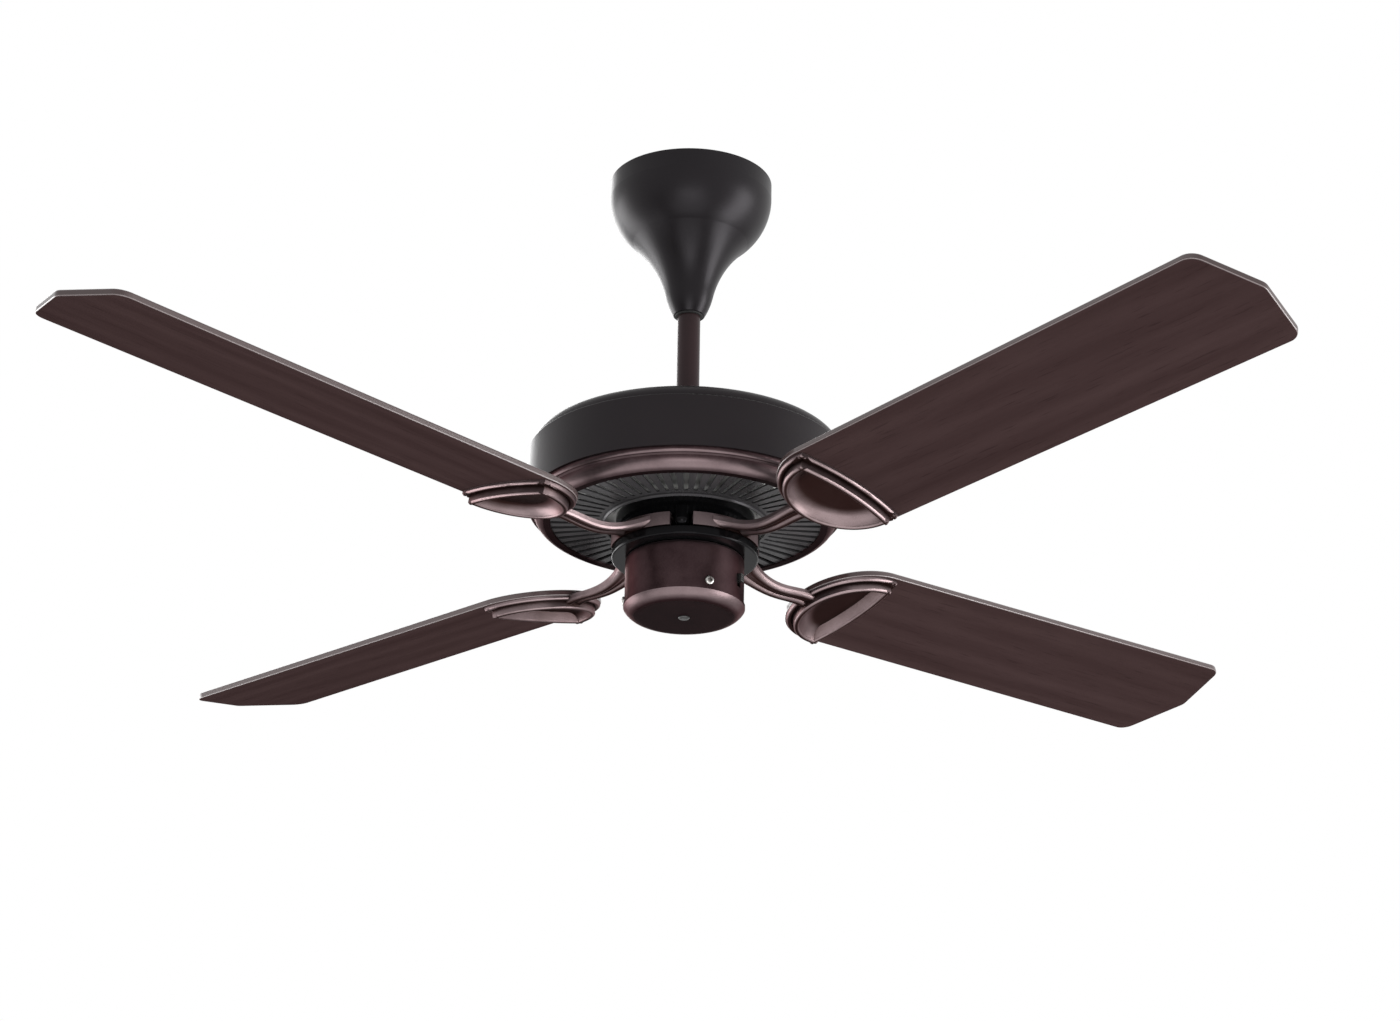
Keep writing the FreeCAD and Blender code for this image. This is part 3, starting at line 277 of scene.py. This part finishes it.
def enamel(look, name, rgb, rough, wave=1.0, shine=0.17):
    """Sprayed enamel: faint orange peel, a mottled tone and uneven gloss."""
    f = Finish(name)
    spot = f.place()
    cloud = f.noise(spot, scale=9.0, detail=4.0)
    peel = f.noise(spot, scale=look.grit * PEEL_CELLS, detail=2.0)
    fleck = f.noise(spot, scale=look.grit * FLECK_CELLS, detail=1.0)
    mottle = (cloud * ENAMEL_CLOUD + fleck * ENAMEL_FLECK).over(low=0.32, high=0.68)
    tone = f.blend(mottle, toned(rgb, ENAMEL_DARK), toned(rgb, ENAMEL_LIGHT))
    haze = cloud.over(low=0.3, high=0.7)
    gloss = haze * ENAMEL_GLOSS_CLOUD + peel * ENAMEL_GLOSS_PEEL + (rough - GLOSS_DROP)
    return f.shade(base_color=tone, roughness=gloss, specular_ior_level=shine, specular_tint=ENAMEL_TINT,
                   normal=f.bump(peel, strength=ENAMEL_BUMP * wave, distance=0.0004))


# Bronze: parts of the patches, painted shade on level faces and in recesses, steady and patchy parts of the
# painted highlight on slopes, parts of the gloss and bump
BRONZE_GRIT_CELLS = 0.55
BRONZE_CLOUD, BRONZE_PATCH, BRONZE_GRIT = 0.6, 0.25, 0.15
# Painted shade on level faces: its share, and its tone over the deep bronze
LEVEL_SHADE, LEVEL_SHADE_TONE = 0.8, 0.7
# Painted shade in recesses: its share, and its tone over the deep bronze
RECESS_SHADE, RECESS_SHADE_TONE = 0.3, 0.7
# Painted highlight on slopes: its steady and its patchy share
SHEEN_STEADY, SHEEN_PATCHY = 0.65, 0.35
BRONZE_ROUGH, BRONZE_GLOSS_PATCH, BRONZE_GLOSS_GRIT = 0.24, 0.12, 0.10
BRONZE_BUMP_GRIT, BRONZE_BUMP_PATCH = 0.6, 0.4
BRONZE_TINT = (0.34, 0.25, 0.25, 1.0)   # brown


def bronze(look, name, tones, turn=0.0, sides=1.0):
    """Bronze lacquer over a casting: patches over a deep brown, with a painted highlight on open slopes and
    painted shade on level faces and in recesses.

    Upright sides get the painted highlight too, as far as sides says.
    """
    deep, rubbed, sheen = tones
    f = Finish(name)
    spot = f.place(turn)
    cloud = f.noise(spot, scale=16.0, detail=5.0, rough=0.6)
    patch = f.noise(spot, scale=60.0, detail=3.0, rough=0.6)
    grit = f.noise(spot, scale=look.grit * BRONZE_GRIT_CELLS, detail=2.0)
    mask = (cloud * BRONZE_CLOUD + patch * BRONZE_PATCH + grit * BRONZE_GRIT).over(low=0.40, high=0.62)
    level = f.level()
    slope = 1 - level.over(low=0.66, high=0.93)
    slope = slope * (level.over(low=0.03, high=0.25) * (1 - sides) + sides)
    clear = f.openness(reach=0.05, rays=8)
    tone = f.blend(mask, deep, rubbed)
    # Painted shade: level faces are darkened towards the deep bronze
    tone = f.blend(level.over(low=0.80, high=0.96) * LEVEL_SHADE, tone, toned(deep, LEVEL_SHADE_TONE))
    # Painted highlight: open slopes are lightened towards the light bronze, partly in patches
    sheen_share = slope * clear.over(low=0.62, high=0.92) * (mask * SHEEN_PATCHY + SHEEN_STEADY)
    tone = f.blend(sheen_share, tone, sheen)
    # Painted shade: recesses, where the piece's own walls stand close, are darkened towards the deep bronze
    tone = f.blend((1 - clear.over(low=0.25, high=0.66)) * RECESS_SHADE, tone, toned(deep, RECESS_SHADE_TONE))
    gloss = patch * BRONZE_GLOSS_PATCH + grit * BRONZE_GLOSS_GRIT + BRONZE_ROUGH
    height = grit * BRONZE_BUMP_GRIT + patch * BRONZE_BUMP_PATCH
    return f.shade(base_color=tone, metallic=0.86, roughness=gloss, specular_ior_level=0.12,
                   specular_tint=BRONZE_TINT, normal=f.bump(height, strength=0.14, distance=0.0005))


# Rosewood: stretch of its layers along the blade, cells over the grain, parts of the figure, pores, and edges
# with their painted highlight and gloss
GRAIN_STRETCH, PORE_STRETCH, BLOT_STRETCH = (0.055, 1.0, 0.6), (0.03, 1.0, 1.0), (0.16, 1.0, 0.6)
BAND_CELLS, PORE_CELLS, LINE_CELLS, BLOT_CELLS = 0.22, 9.0, 0.16, 0.55
FIGURE_STREAK, FIGURE_BLOT, FIGURE_BAND, FIGURE_LINE = 0.38, 0.40, 0.12, 0.10
PORE_DULL, PORE_TONE = 0.4, 0.4
# Painted highlight on the blades' upright edges: its share, and its tone over the light wood
EDGE_SHEEN, EDGE_SHEEN_TONE = 0.6, 1.6
WOOD_ROUGH, WOOD_GLOSS_MASK, WOOD_GLOSS_PORE, WOOD_GLOSS_EDGE = 0.46, -0.08, 0.08, 0.12
WOOD_BUMP_PORE, WOOD_BUMP_STREAK = -0.6, 0.4


def rosewood(look, name, turn):
    """Rosewood face under lacquer: streaks, blots and pores along the blade, with a painted highlight along
    its edges.
    """
    f = Finish(name)
    spot = f.place(-turn)
    along = f.stretch(spot, GRAIN_STRETCH)
    streak = f.noise(along, scale=look.grain, detail=6.0, rough=0.62, twist=0.35)
    band = f.noise(along, scale=look.grain * BAND_CELLS, detail=3.0, rough=0.5, twist=0.8)
    pore = f.noise(f.stretch(spot, PORE_STRETCH), scale=look.grain * PORE_CELLS, detail=2.0, rough=0.5)
    lines = f.node("ShaderNodeTexWave", {"wave_type": "BANDS", "bands_direction": "Y"},
                   {"Vector": along, "Scale": look.grain * LINE_CELLS, "Distortion": 9.0, "Detail": 4.0,
                    "Detail Scale": 1.4, "Detail Roughness": 0.6})["Fac"]
    blot = f.noise(f.stretch(spot, BLOT_STRETCH), scale=look.grain * BLOT_CELLS, detail=3.0, rough=0.5,
                   twist=0.4)
    figure = streak * FIGURE_STREAK + blot * FIGURE_BLOT + band * FIGURE_BAND + lines * FIGURE_LINE
    mask = figure.over(low=0.26, high=0.74)
    level = f.level()
    edge = 1 - level.over(low=0.35, high=0.85)
    arris = level.over(low=0.02, high=0.12) * edge
    tone = f.blend(mask, look.wood_dark, look.wood_light)
    tone = f.blend(pore.over(low=0.60, high=0.74) * PORE_DULL, tone, toned(look.wood_dark, PORE_TONE))
    # Painted highlight: upright edges are lightened towards a pale wood tone, rounded edges towards the edge
    # colour
    tone = f.blend(edge * EDGE_SHEEN, tone, toned(look.wood_light, EDGE_SHEEN_TONE))
    tone = f.blend(arris, tone, look.wood_edge_sheen)
    gloss = mask * WOOD_GLOSS_MASK + pore * WOOD_GLOSS_PORE - edge * WOOD_GLOSS_EDGE + WOOD_ROUGH
    height = pore * WOOD_BUMP_PORE + streak * WOOD_BUMP_STREAK
    return f.shade(base_color=tone, roughness=gloss, specular_ior_level=0.0, coat_weight=edge,
                   coat_roughness=0.2, normal=f.bump(height, strength=0.10, distance=0.0003))


# Plating: stretch of the drawn lines, darkest tone, parts of the gloss
DRAWN_STRETCH = (0.15, 0.15, 3.0)
PLATED_DARK = 0.72
PLATED_GLOSS_CLOUD, PLATED_GLOSS_DRAWN = 0.12, 0.08


def plated(name, rgb, rough=0.26, metal=1.0):
    """Plated or cast metal: fine drawn lines, a clouded tone and uneven gloss."""
    f = Finish(name)
    spot = f.place()
    cloud = f.noise(spot, scale=55.0, detail=4.0)
    drawn = f.noise(f.stretch(spot, DRAWN_STRETCH), scale=900.0, detail=2.0)
    tone = f.blend(cloud.over(low=0.3, high=0.7), toned(rgb, PLATED_DARK), rgb)
    gloss = cloud * PLATED_GLOSS_CLOUD + drawn * PLATED_GLOSS_DRAWN + (rough - GLOSS_DROP)
    return f.shade(base_color=tone, metallic=metal, roughness=gloss,
                   normal=f.bump(drawn, strength=0.06, distance=0.0002))


# Mouldings: tones over the written colour, parts of the gloss
MOULDED_DARK, MOULDED_LIGHT = 0.75, 1.2
MOULDED_GLOSS_CLOUD, MOULDED_GLOSS_GRAIN = 0.10, 0.06


def moulded(name, rgb, rough):
    """Moulded plastic, rubber or fibre: a fine grain and slightly uneven gloss."""
    f = Finish(name)
    spot = f.place()
    grain = f.noise(spot, scale=700.0, detail=3.0, rough=0.6)
    cloud = f.noise(spot, scale=40.0, detail=3.0)
    tone = f.blend(cloud.over(low=0.3, high=0.7), toned(rgb, MOULDED_DARK), toned(rgb, MOULDED_LIGHT))
    gloss = cloud * MOULDED_GLOSS_CLOUD + grain * MOULDED_GLOSS_GRAIN + (rough - GLOSS_DROP)
    return f.shade(base_color=tone, roughness=gloss, normal=f.bump(grain, strength=0.12, distance=0.0004))


def dress(material, *names):
    """Give CAD nodes one finish."""
    for name in names:
        data = NODES[name].data
        data.materials.clear()
        data.materials.append(material)


def link(mesh, name):
    """Make a scene object from a bmesh and free it."""
    data = bpy.data.meshes.new(name)
    mesh.to_mesh(data)
    mesh.free()
    made = bpy.data.objects.new(name, data)
    bpy.context.scene.collection.objects.link(made)
    return made


# Reading the CAD pieces: weld distance in metres, then shares and cosines
WELD = 1e-6
FLAT_MATCH = 0.99999    # two faces this much alike in direction are both flat across the screw's axis
RIM_SHARE = 0.8         # vertices beyond this share of the head's radius belong to the head
TIP_SHARE = 0.3         # the shank is measured below this share of its length


def islands(mesh):
    """The separate solids of a merged mesh, each as a list of its faces."""
    left = set(mesh.faces)
    for first in mesh.faces:
        if first not in left:
            continue
        left.discard(first)
        stack, solid = [first], []
        while stack:
            face = stack.pop()
            solid.append(face)
            for near in (other for edge in face.edges for other in edge.link_faces):
                if near in left:
                    left.discard(near)
                    stack.append(near)
        yield solid


def measure(solid):
    """A screw's seat as a matrix with its head along Z, then its head's and its shank's radius and length.

    The flat underside of the head and the flat tip face away from the head, so they give its axis.
    """
    normals = numpy.array([face.normal for face in solid])
    areas = numpy.array([face.calc_area() for face in solid])
    spots = numpy.array([face.calc_center_median() for face in solid])
    alike = numpy.abs(normals @ normals.T) > FLAT_MATCH
    flats = alike[numpy.argmax(alike @ areas)]
    axis = -areas[flats] @ normals[flats]
    axis /= numpy.linalg.norm(axis)
    centre = numpy.average(spots[flats], axis=0, weights=areas[flats])
    places = numpy.array([vert.co for face in solid for vert in face.verts]) - centre
    run = places @ axis
    off = numpy.linalg.norm(places - numpy.outer(run, axis), axis=1)
    seat = run[off > off.max() * RIM_SHARE].min()
    deep = seat - run.min()
    shank = off[run < seat - deep * TIP_SHARE].max()
    turn = Vector(axis).to_track_quat("Z", "Y").to_matrix().to_4x4()
    place = Matrix.Translation(Vector(centre + axis * seat)) @ turn
    return place, off.max(), run.max() - seat, shank, deep


# Pan screw: the head's round side from crown to seat, over its radius and height, and the tip over the shank
PAN_SIDE = ((0.74, 0.94), (0.92, 0.70), (1.0, 0.36), (0.98, 0.0))
TIP_LONG, TIP_RAD = 0.5, 0.6
SPIN_WELD = 1e-7
SCREW_CREASE = math.radians(35)


def pan_screw(mesh, form, place, head, tall, shank, deep):
    """A pan-head screw: a spun head and shank with a cross recess pushed into the crown."""
    before = set(mesh.verts)
    half = [(head * form.flat, tall), *((head * out, tall * up) for out, up in PAN_SIDE),
            (shank, 0), (shank, shank * TIP_LONG - deep), (shank * TIP_RAD, -deep), (0, -deep)]
    verts = [mesh.verts.new((radius, 0, height)) for radius, height in half]
    edges = [mesh.edges.new(pair) for pair in zip(verts, verts[1:])]
    bmesh.ops.spin(mesh, geom=verts + edges, cent=(0, 0, 0), axis=(0, 0, 1), angle=math.tau, steps=form.sides,
                   use_merge=True)
    spun = [vert for vert in mesh.verts if vert not in before]
    bmesh.ops.remove_doubles(mesh, verts=spun, dist=SPIN_WELD)
    reach, width = head * form.arm, head * form.width
    crown = Matrix.Translation((0, 0, tall))
    cross = bmesh.ops.create_grid(mesh, x_segments=3, y_segments=3, size=reach, matrix=crown)["verts"]
    for vert in cross:
        for k in (0, 1):
            vert.co[k] = math.copysign(reach if abs(vert.co[k]) > reach / 2 else width, vert.co[k])
    faces = list(dict.fromkeys(face for vert in cross for face in vert.link_faces))
    corners = [face for face in faces if min(abs(c) for c in face.calc_center_median()[:2]) > width]
    bmesh.ops.delete(mesh, geom=corners, context="FACES")
    arms = [face for face in faces if face.is_valid]
    rims = [edge for edge in mesh.edges if edge.is_boundary and not {*edge.verts} & before]
    bmesh.ops.triangle_fill(mesh, edges=rims, use_beauty=True, normal=(0, 0, 1))
    pushed = bmesh.ops.extrude_face_region(mesh, geom=arms)["geom"]
    bmesh.ops.delete(mesh, geom=arms, context="FACES")
    floor = [part for part in pushed if isinstance(part, bmesh.types.BMVert)]
    bmesh.ops.scale(mesh, verts=floor, vec=(form.taper, form.taper, 1))
    bmesh.ops.translate(mesh, verts=floor, vec=(0, 0, -tall * form.sink))
    fresh = [vert for vert in mesh.verts if vert not in before]
    bmesh.ops.transform(mesh, matrix=place, verts=fresh)


def pan_screws(context, node, body, finish):
    """Stand detailed screws in the places of a CAD node's plain ones."""
    source, made = bmesh.new(), bmesh.new()
    source.from_mesh(NODES[node].data)
    bmesh.ops.remove_doubles(source, verts=source.verts, dist=WELD)
    for solid in islands(source):
        pan_screw(made, context.scene.fan_hardware, *measure(solid))
    source.free()
    if not all(edge.is_manifold for edge in made.edges):
        raise RuntimeError("open screw in " + node)
    bmesh.ops.recalc_face_normals(made, faces=made.faces)
    for face in made.faces:
        face.smooth = True
    piece = link(made, node + "_cross")
    piece.data.set_sharp_from_angle(angle=SCREW_CREASE)
    piece.data.materials.append(finish)
    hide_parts(node)
    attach(piece, body)


# Mouldings: radians between faces that are one flat or that meet in an edge, cosine of a front face
SAME_FLAT = 0.01
EDGE_BEND = 0.5
FRONT_FACING = 0.9
EDGE_STEPS = 2


def ridge(mesh, form, low, high, outward):
    """Cut grip grooves across a slide's outer face."""
    middle = (low + high) / 2
    strips = 2 * form.ridges - 1
    for k in range(1, strips):
        level = low.z + (high.z - low.z) * k / strips
        bmesh.ops.bisect_plane(mesh, geom=mesh.verts[:] + mesh.edges[:] + mesh.faces[:],
                               plane_co=(middle.x, middle.y, level), plane_no=(0, 0, 1))
    front = sorted((face for face in mesh.faces if face.normal.dot(outward) > FRONT_FACING),
                   key=lambda face: face.calc_center_median().z)
    for face in front[1::2]:
        sunk = bmesh.ops.extrude_discrete_faces(mesh, faces=[face])["faces"]
        bmesh.ops.translate(mesh, verts=sunk[0].verts, vec=outward * -form.ridge_deep)


def moulding(context, node, body, finish, ridged=False):
    """Stand a soft-edged moulding in a CAD node's place, with grip ridges on its outer face if asked."""
    form, mesh = context.scene.fan_hardware, bmesh.new()
    mesh.from_mesh(NODES[node].data)
    bmesh.ops.remove_doubles(mesh, verts=mesh.verts, dist=WELD)
    bmesh.ops.dissolve_limit(mesh, angle_limit=SAME_FLAT, verts=mesh.verts, edges=mesh.edges)
    if ridged:
        low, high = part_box(node)
        outward = Vector((low.x + high.x, low.y + high.y, 0)).normalized()
        ridge(mesh, form, low, high, outward)
    sharp = [edge for edge in mesh.edges if edge.calc_face_angle(0) > EDGE_BEND]
    bmesh.ops.bevel(mesh, geom=sharp, offset=form.soft_edge, affect="EDGES", segments=EDGE_STEPS, profile=0.5,
                    material=-1, clamp_overlap=True)
    bmesh.ops.recalc_face_normals(mesh, faces=mesh.faces)
    piece = link(mesh, node + "_moulded")
    piece.data.materials.append(finish)
    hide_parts(node)
    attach(piece, body)


class FAN_OT_canopy(bpy.types.Operator):
    """Dress the canopy bell and the grip in its neck"""
    bl_idname = "fan.canopy"
    bl_label = "Canopy"

    def execute(self, context):
        look = context.scene.fan_finishes
        dress(enamel(look, "canopy_enamel", look.canopy, rough=0.36), "canopy")
        dress(moulded("grip_rubber", look.grip, rough=0.62), "canopy_grip")
        return {"FINISHED"}


class FAN_OT_housing(bpy.types.Operator):
    """Dress the drum, the downrod and the coupling"""
    bl_idname = "fan.housing"
    bl_label = "Housing"

    def execute(self, context):
        look = context.scene.fan_finishes
        dress(enamel(look, "housing_enamel", look.drum, rough=0.34, shine=0.20), "housing_drum", "coupling")
        dress(enamel(look, "rod_enamel", look.rod, rough=0.34), "downrod")
        return {"FINISHED"}


class FAN_OT_vent(bpy.types.Operator):
    """Dress the trim ring and the slotted vent plate"""
    bl_idname = "fan.vent"
    bl_label = "Vent plate"

    def execute(self, context):
        look = context.scene.fan_finishes
        tones = look.bronze_deep, look.bronze_rubbed, look.bronze_sheen
        dress(bronze(look, "ring_bronze", tones, sides=0.0), "trim_ring")
        dress(enamel(look, "vent_enamel", look.vent, rough=0.30), "vent_plate")
        return {"FINISHED"}


class FAN_OT_irons(bpy.types.Operator):
    """Dress the blade irons and the hub they bolt to"""
    bl_idname = "fan.irons"
    bl_label = "Blade irons"
    PATCH_TURN = 1.3    # radians between one iron's bronze patches and the next one's

    def execute(self, context):
        look = context.scene.fan_finishes
        tones = look.iron_deep, look.iron_rubbed, look.iron_sheen
        for number in range(1, BLADES + 1):
            cast = bronze(look, "iron_bronze_%d" % number, tones, turn=number * self.PATCH_TURN)
            dress(cast, "blade_iron_%d" % number)
        dress(enamel(look, "hub_gloss", look.gloss, rough=0.16, wave=0.4, shine=0.08), "hub", "cup_tray")
        return {"FINISHED"}


class FAN_OT_blades(bpy.types.Operator):
    """Dress the wooden blades, each with its grain along its length"""
    bl_idname = "fan.blades"
    bl_label = "Blades"

    def execute(self, context):
        look = context.scene.fan_finishes
        for number in range(1, BLADES + 1):
            name = "blade_%d" % number
            low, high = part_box(name)
            middle = (low + high) / 2
            dress(rosewood(look, "rosewood_%d" % number, math.atan2(middle.y, middle.x)), name)
        return {"FINISHED"}


class FAN_OT_cup(bpy.types.Operator):
    """Dress the switch cup, its cap and plug, and the reversing switch"""
    bl_idname = "fan.cup"
    bl_label = "Switch cup"

    def execute(self, context):
        look = context.scene.fan_finishes
        tones = look.bronze_deep, look.bronze_rubbed, look.bronze_sheen
        dress(bronze(look, "cup_bronze", tones, sides=0.0), "switch_cup", "switch_cap")
        plastic = moulded("switch_plastic", look.plastic, rough=0.25)
        dress(plastic, "switch_body", "switch_knob", "cap_plug")
        moulding(context, "switch_body", "hanger", plastic)
        moulding(context, "switch_knob", "reverser", plastic, ridged=True)
        return {"FINISHED"}


class FAN_OT_fastenings(bpy.types.Operator):
    """Dress the screws, bolts, nuts and washers"""
    bl_idname = "fan.fastenings"
    bl_label = "Screws and bolts"

    def execute(self, context):
        look = context.scene.fan_finishes
        bright = plated("screw_steel", look.steel)
        black = plated("screw_black", look.blackened, rough=0.34)
        for node, body, finish in (("drum_screws", "hanger", black), ("cup_screws", "hanger", bright),
                                   ("iron_screws", "rotor", black), ("blade_screws", "rotor", bright)):
            dress(finish, node)
            pan_screws(context, node, body, finish)
        dress(plated("bolt_zinc", look.steel, rough=0.34), "shackle_bolts", "shackle_nuts", "collar_bolt",
              "collar_nut", "shaft_nut", "shackle_straps")
        dress(moulded("washer_fibre", look.fibre, rough=0.6), "blade_washers")
        dress(moulded("roller_rubber", look.roller, rough=0.7), "shackle_roller")
        return {"FINISHED"}


class FAN_OT_motor(bpy.types.Operator):
    """Dress the motor's shaft, plate, stator and rotor"""
    bl_idname = "fan.motor"
    bl_label = "Motor"

    def execute(self, context):
        look = context.scene.fan_finishes
        dress(plated("shaft_steel", look.steel, rough=0.22), "motor_shaft", "hanging_plate")
        dress(plated("coil_copper", look.copper, rough=0.4, metal=0.7), "stator")
        dress(plated("rotor_alloy", look.alloy, rough=0.5), "rotor")
        return {"FINISHED"}


# Lamps: the studio setting of each one's radiance, its name, place, aim, and width and height, in metres
FAN_MIDDLE, CEILING_FRONT = (0.0, 0.0, -0.33), (0.0, -1.0, 0.0)
LAMPS = (
    ("key", "lamp_left", (-2.0, 1.35, -0.75), FAN_MIDDLE, (1.2, 2.4)),
    ("fill", "lamp_right", (2.15, -0.25, -1.1), FAN_MIDDLE, (1.1, 2.4)),
    ("bounce", "lamp_below", (0.0, -1.05, -2.35), CEILING_FRONT, (4.4, 2.3)),
    ("front", "lamp_front", (0.0, -2.7, -1.75), FAN_MIDDLE, (1.7, 1.1)),
    ("crown", "lamp_back", (-0.9, 2.6, 1.0), FAN_MIDDLE, (1.6, 1.6)),
)
FLOOR_DARK, FLOOR_LIGHT = (0.80, 0.80, 0.80), (0.84, 0.84, 0.84)
SENSOR_WIDTH = 36.0     # millimetres


class FAN_OT_studio(bpy.types.Operator):
    """Set the floor, the lamps, the world and the camera"""
    bl_idname = "fan.studio"
    bl_label = "Studio"

    def execute(self, context):
        scene, studio = context.scene, context.scene.fan_studio
        scene.view_settings.view_transform = "Standard"
        self.floor(studio)
        self.world(scene, studio)
        for setting, name, place, aim, size in LAMPS:
            self.lamp(scene, name, Vector(place), Vector(aim), size, getattr(studio, setting))
        self.camera(scene, studio)
        return {"FINISHED"}

    def floor(self, studio):
        """A pale floor that fades to white with distance and can be seen through from underneath."""
        mesh = bmesh.new()
        bmesh.ops.create_grid(mesh, x_segments=2, y_segments=2, size=studio.reach,
                              matrix=Matrix.Translation((0, 0, -studio.floor)))
        floor = link(mesh, "studio_floor")
        f = Finish("studio_floor")
        spot = f.place()
        tone = f.blend(f.noise(spot, scale=3.0), FLOOR_DARK, FLOOR_LIGHT)
        paint = f.node("ShaderNodeBsdfPrincipled", {}, {"Base Color": tone, "Roughness": 0.9})["BSDF"]
        clear = f.node("ShaderNodeBsdfTransparent")["BSDF"]
        under = f.node("ShaderNodeNewGeometry")["Backfacing"]
        away = f.node("ShaderNodeVectorMath", {"operation": "LENGTH"}, {0: spot})["Value"]
        far = away.over(studio.fade_near, studio.fade_far)
        white = f.node("ShaderNodeEmission", {}, {"Color": WHITE, "Strength": 1.0})["Emission"]
        top = f.node("ShaderNodeMixShader", {}, {0: far * f.seen(), 1: paint, 2: white})["Shader"]
        mixed = f.node("ShaderNodeMixShader", {}, {0: under, 1: top, 2: clear})["Shader"]
        f.node("ShaderNodeOutputMaterial", {}, {"Surface": mixed})
        floor.data.materials.append(f.material)

    def world(self, scene, studio):
        """A soft white room that shows as plain white."""
        scene.world = bpy.data.worlds.new("studio_room")
        scene.world.use_nodes = True
        f = Finish("studio_room", scene.world.node_tree)
        lit = {"Color": WHITE, "Strength": studio.ambient}
        shown = {"Color": WHITE, "Strength": 1.0}
        room = f.node("ShaderNodeBackground", {}, lit)["Background"]
        white = f.node("ShaderNodeBackground", {}, shown)["Background"]
        mixed = f.node("ShaderNodeMixShader", {}, {0: f.seen(), 1: room, 2: white})["Shader"]
        f.node("ShaderNodeOutputWorld", {}, {"Surface": mixed})

    def lamp(self, scene, name, place, aim, size, radiance):
        """An area lamp that the camera doesn't see."""
        data = bpy.data.lights.new(name, "AREA")
        data.shape = "RECTANGLE"
        data.size, data.size_y = size
        data.energy = radiance * math.pi * size[0] * size[1]
        lamp = bpy.data.objects.new(name, data)
        turn = (aim - place).to_track_quat("-Z", "Y").to_matrix().to_4x4()
        lamp.matrix_world = Matrix.Translation(place) @ turn
        lamp.visible_camera = False
        scene.collection.objects.link(lamp)

    def camera(self, scene, studio):
        """The camera at the photograph's angle."""
        data = bpy.data.cameras.new("studio_camera")
        data.sensor_fit = "HORIZONTAL"
        data.sensor_width = SENSOR_WIDTH
        data.lens = studio.lens
        camera = bpy.data.objects.new("studio_camera", data)
        flat = math.cos(studio.tilt)
        ahead = Vector((math.sin(studio.turn) * flat, math.cos(studio.turn) * flat, math.sin(studio.tilt)))
        right = ahead.cross(Vector((0, 0, 1))).normalized()
        down = ahead.cross(right)
        c, s = math.cos(studio.roll), math.sin(studio.roll)
        across, under = c * right + s * down, c * down - s * right
        turn = Matrix((across, -under, -ahead)).transposed().to_4x4()
        camera.matrix_world = Matrix.Translation((0, -studio.back, -studio.below)) @ turn
        scene.collection.objects.link(camera)
        scene.camera = camera


PIECES = (FAN_OT_canopy, FAN_OT_housing, FAN_OT_vent, FAN_OT_irons, FAN_OT_blades, FAN_OT_cup,
          FAN_OT_fastenings, FAN_OT_motor, FAN_OT_studio)


class FAN_PT_parts(bpy.types.Panel):
    """Lists the fan's pieces and their settings"""
    bl_idname = "FAN_PT_parts"
    bl_label = "Ceiling fan"
    bl_space_type = "VIEW_3D"
    bl_region_type = "UI"
    bl_category = "Fan"

    def draw(self, context):
        for piece in PIECES:
            self.layout.operator(piece.bl_idname)
        for group in (context.scene.fan_finishes, context.scene.fan_hardware, context.scene.fan_studio):
            box = self.layout.box()
            for key in group.__annotations__:
                box.prop(group, key)


CLASSES = (FanFinishes, FanHardware, FanStudio, *PIECES, FAN_PT_parts)


def register():
    for each in CLASSES:
        bpy.utils.register_class(each)
    bpy.types.Scene.fan_finishes = PointerProperty(type=FanFinishes)
    bpy.types.Scene.fan_hardware = PointerProperty(type=FanHardware)
    bpy.types.Scene.fan_studio = PointerProperty(type=FanStudio)


def unregister():
    del bpy.types.Scene.fan_studio
    del bpy.types.Scene.fan_hardware
    del bpy.types.Scene.fan_finishes
    for each in reversed(CLASSES):
        bpy.utils.unregister_class(each)


def main():
    register()
    for piece in PIECES:
        group, name = piece.bl_idname.split(".")
        getattr(getattr(bpy.ops, group), name)()


if __name__ == "__main__":
    main()
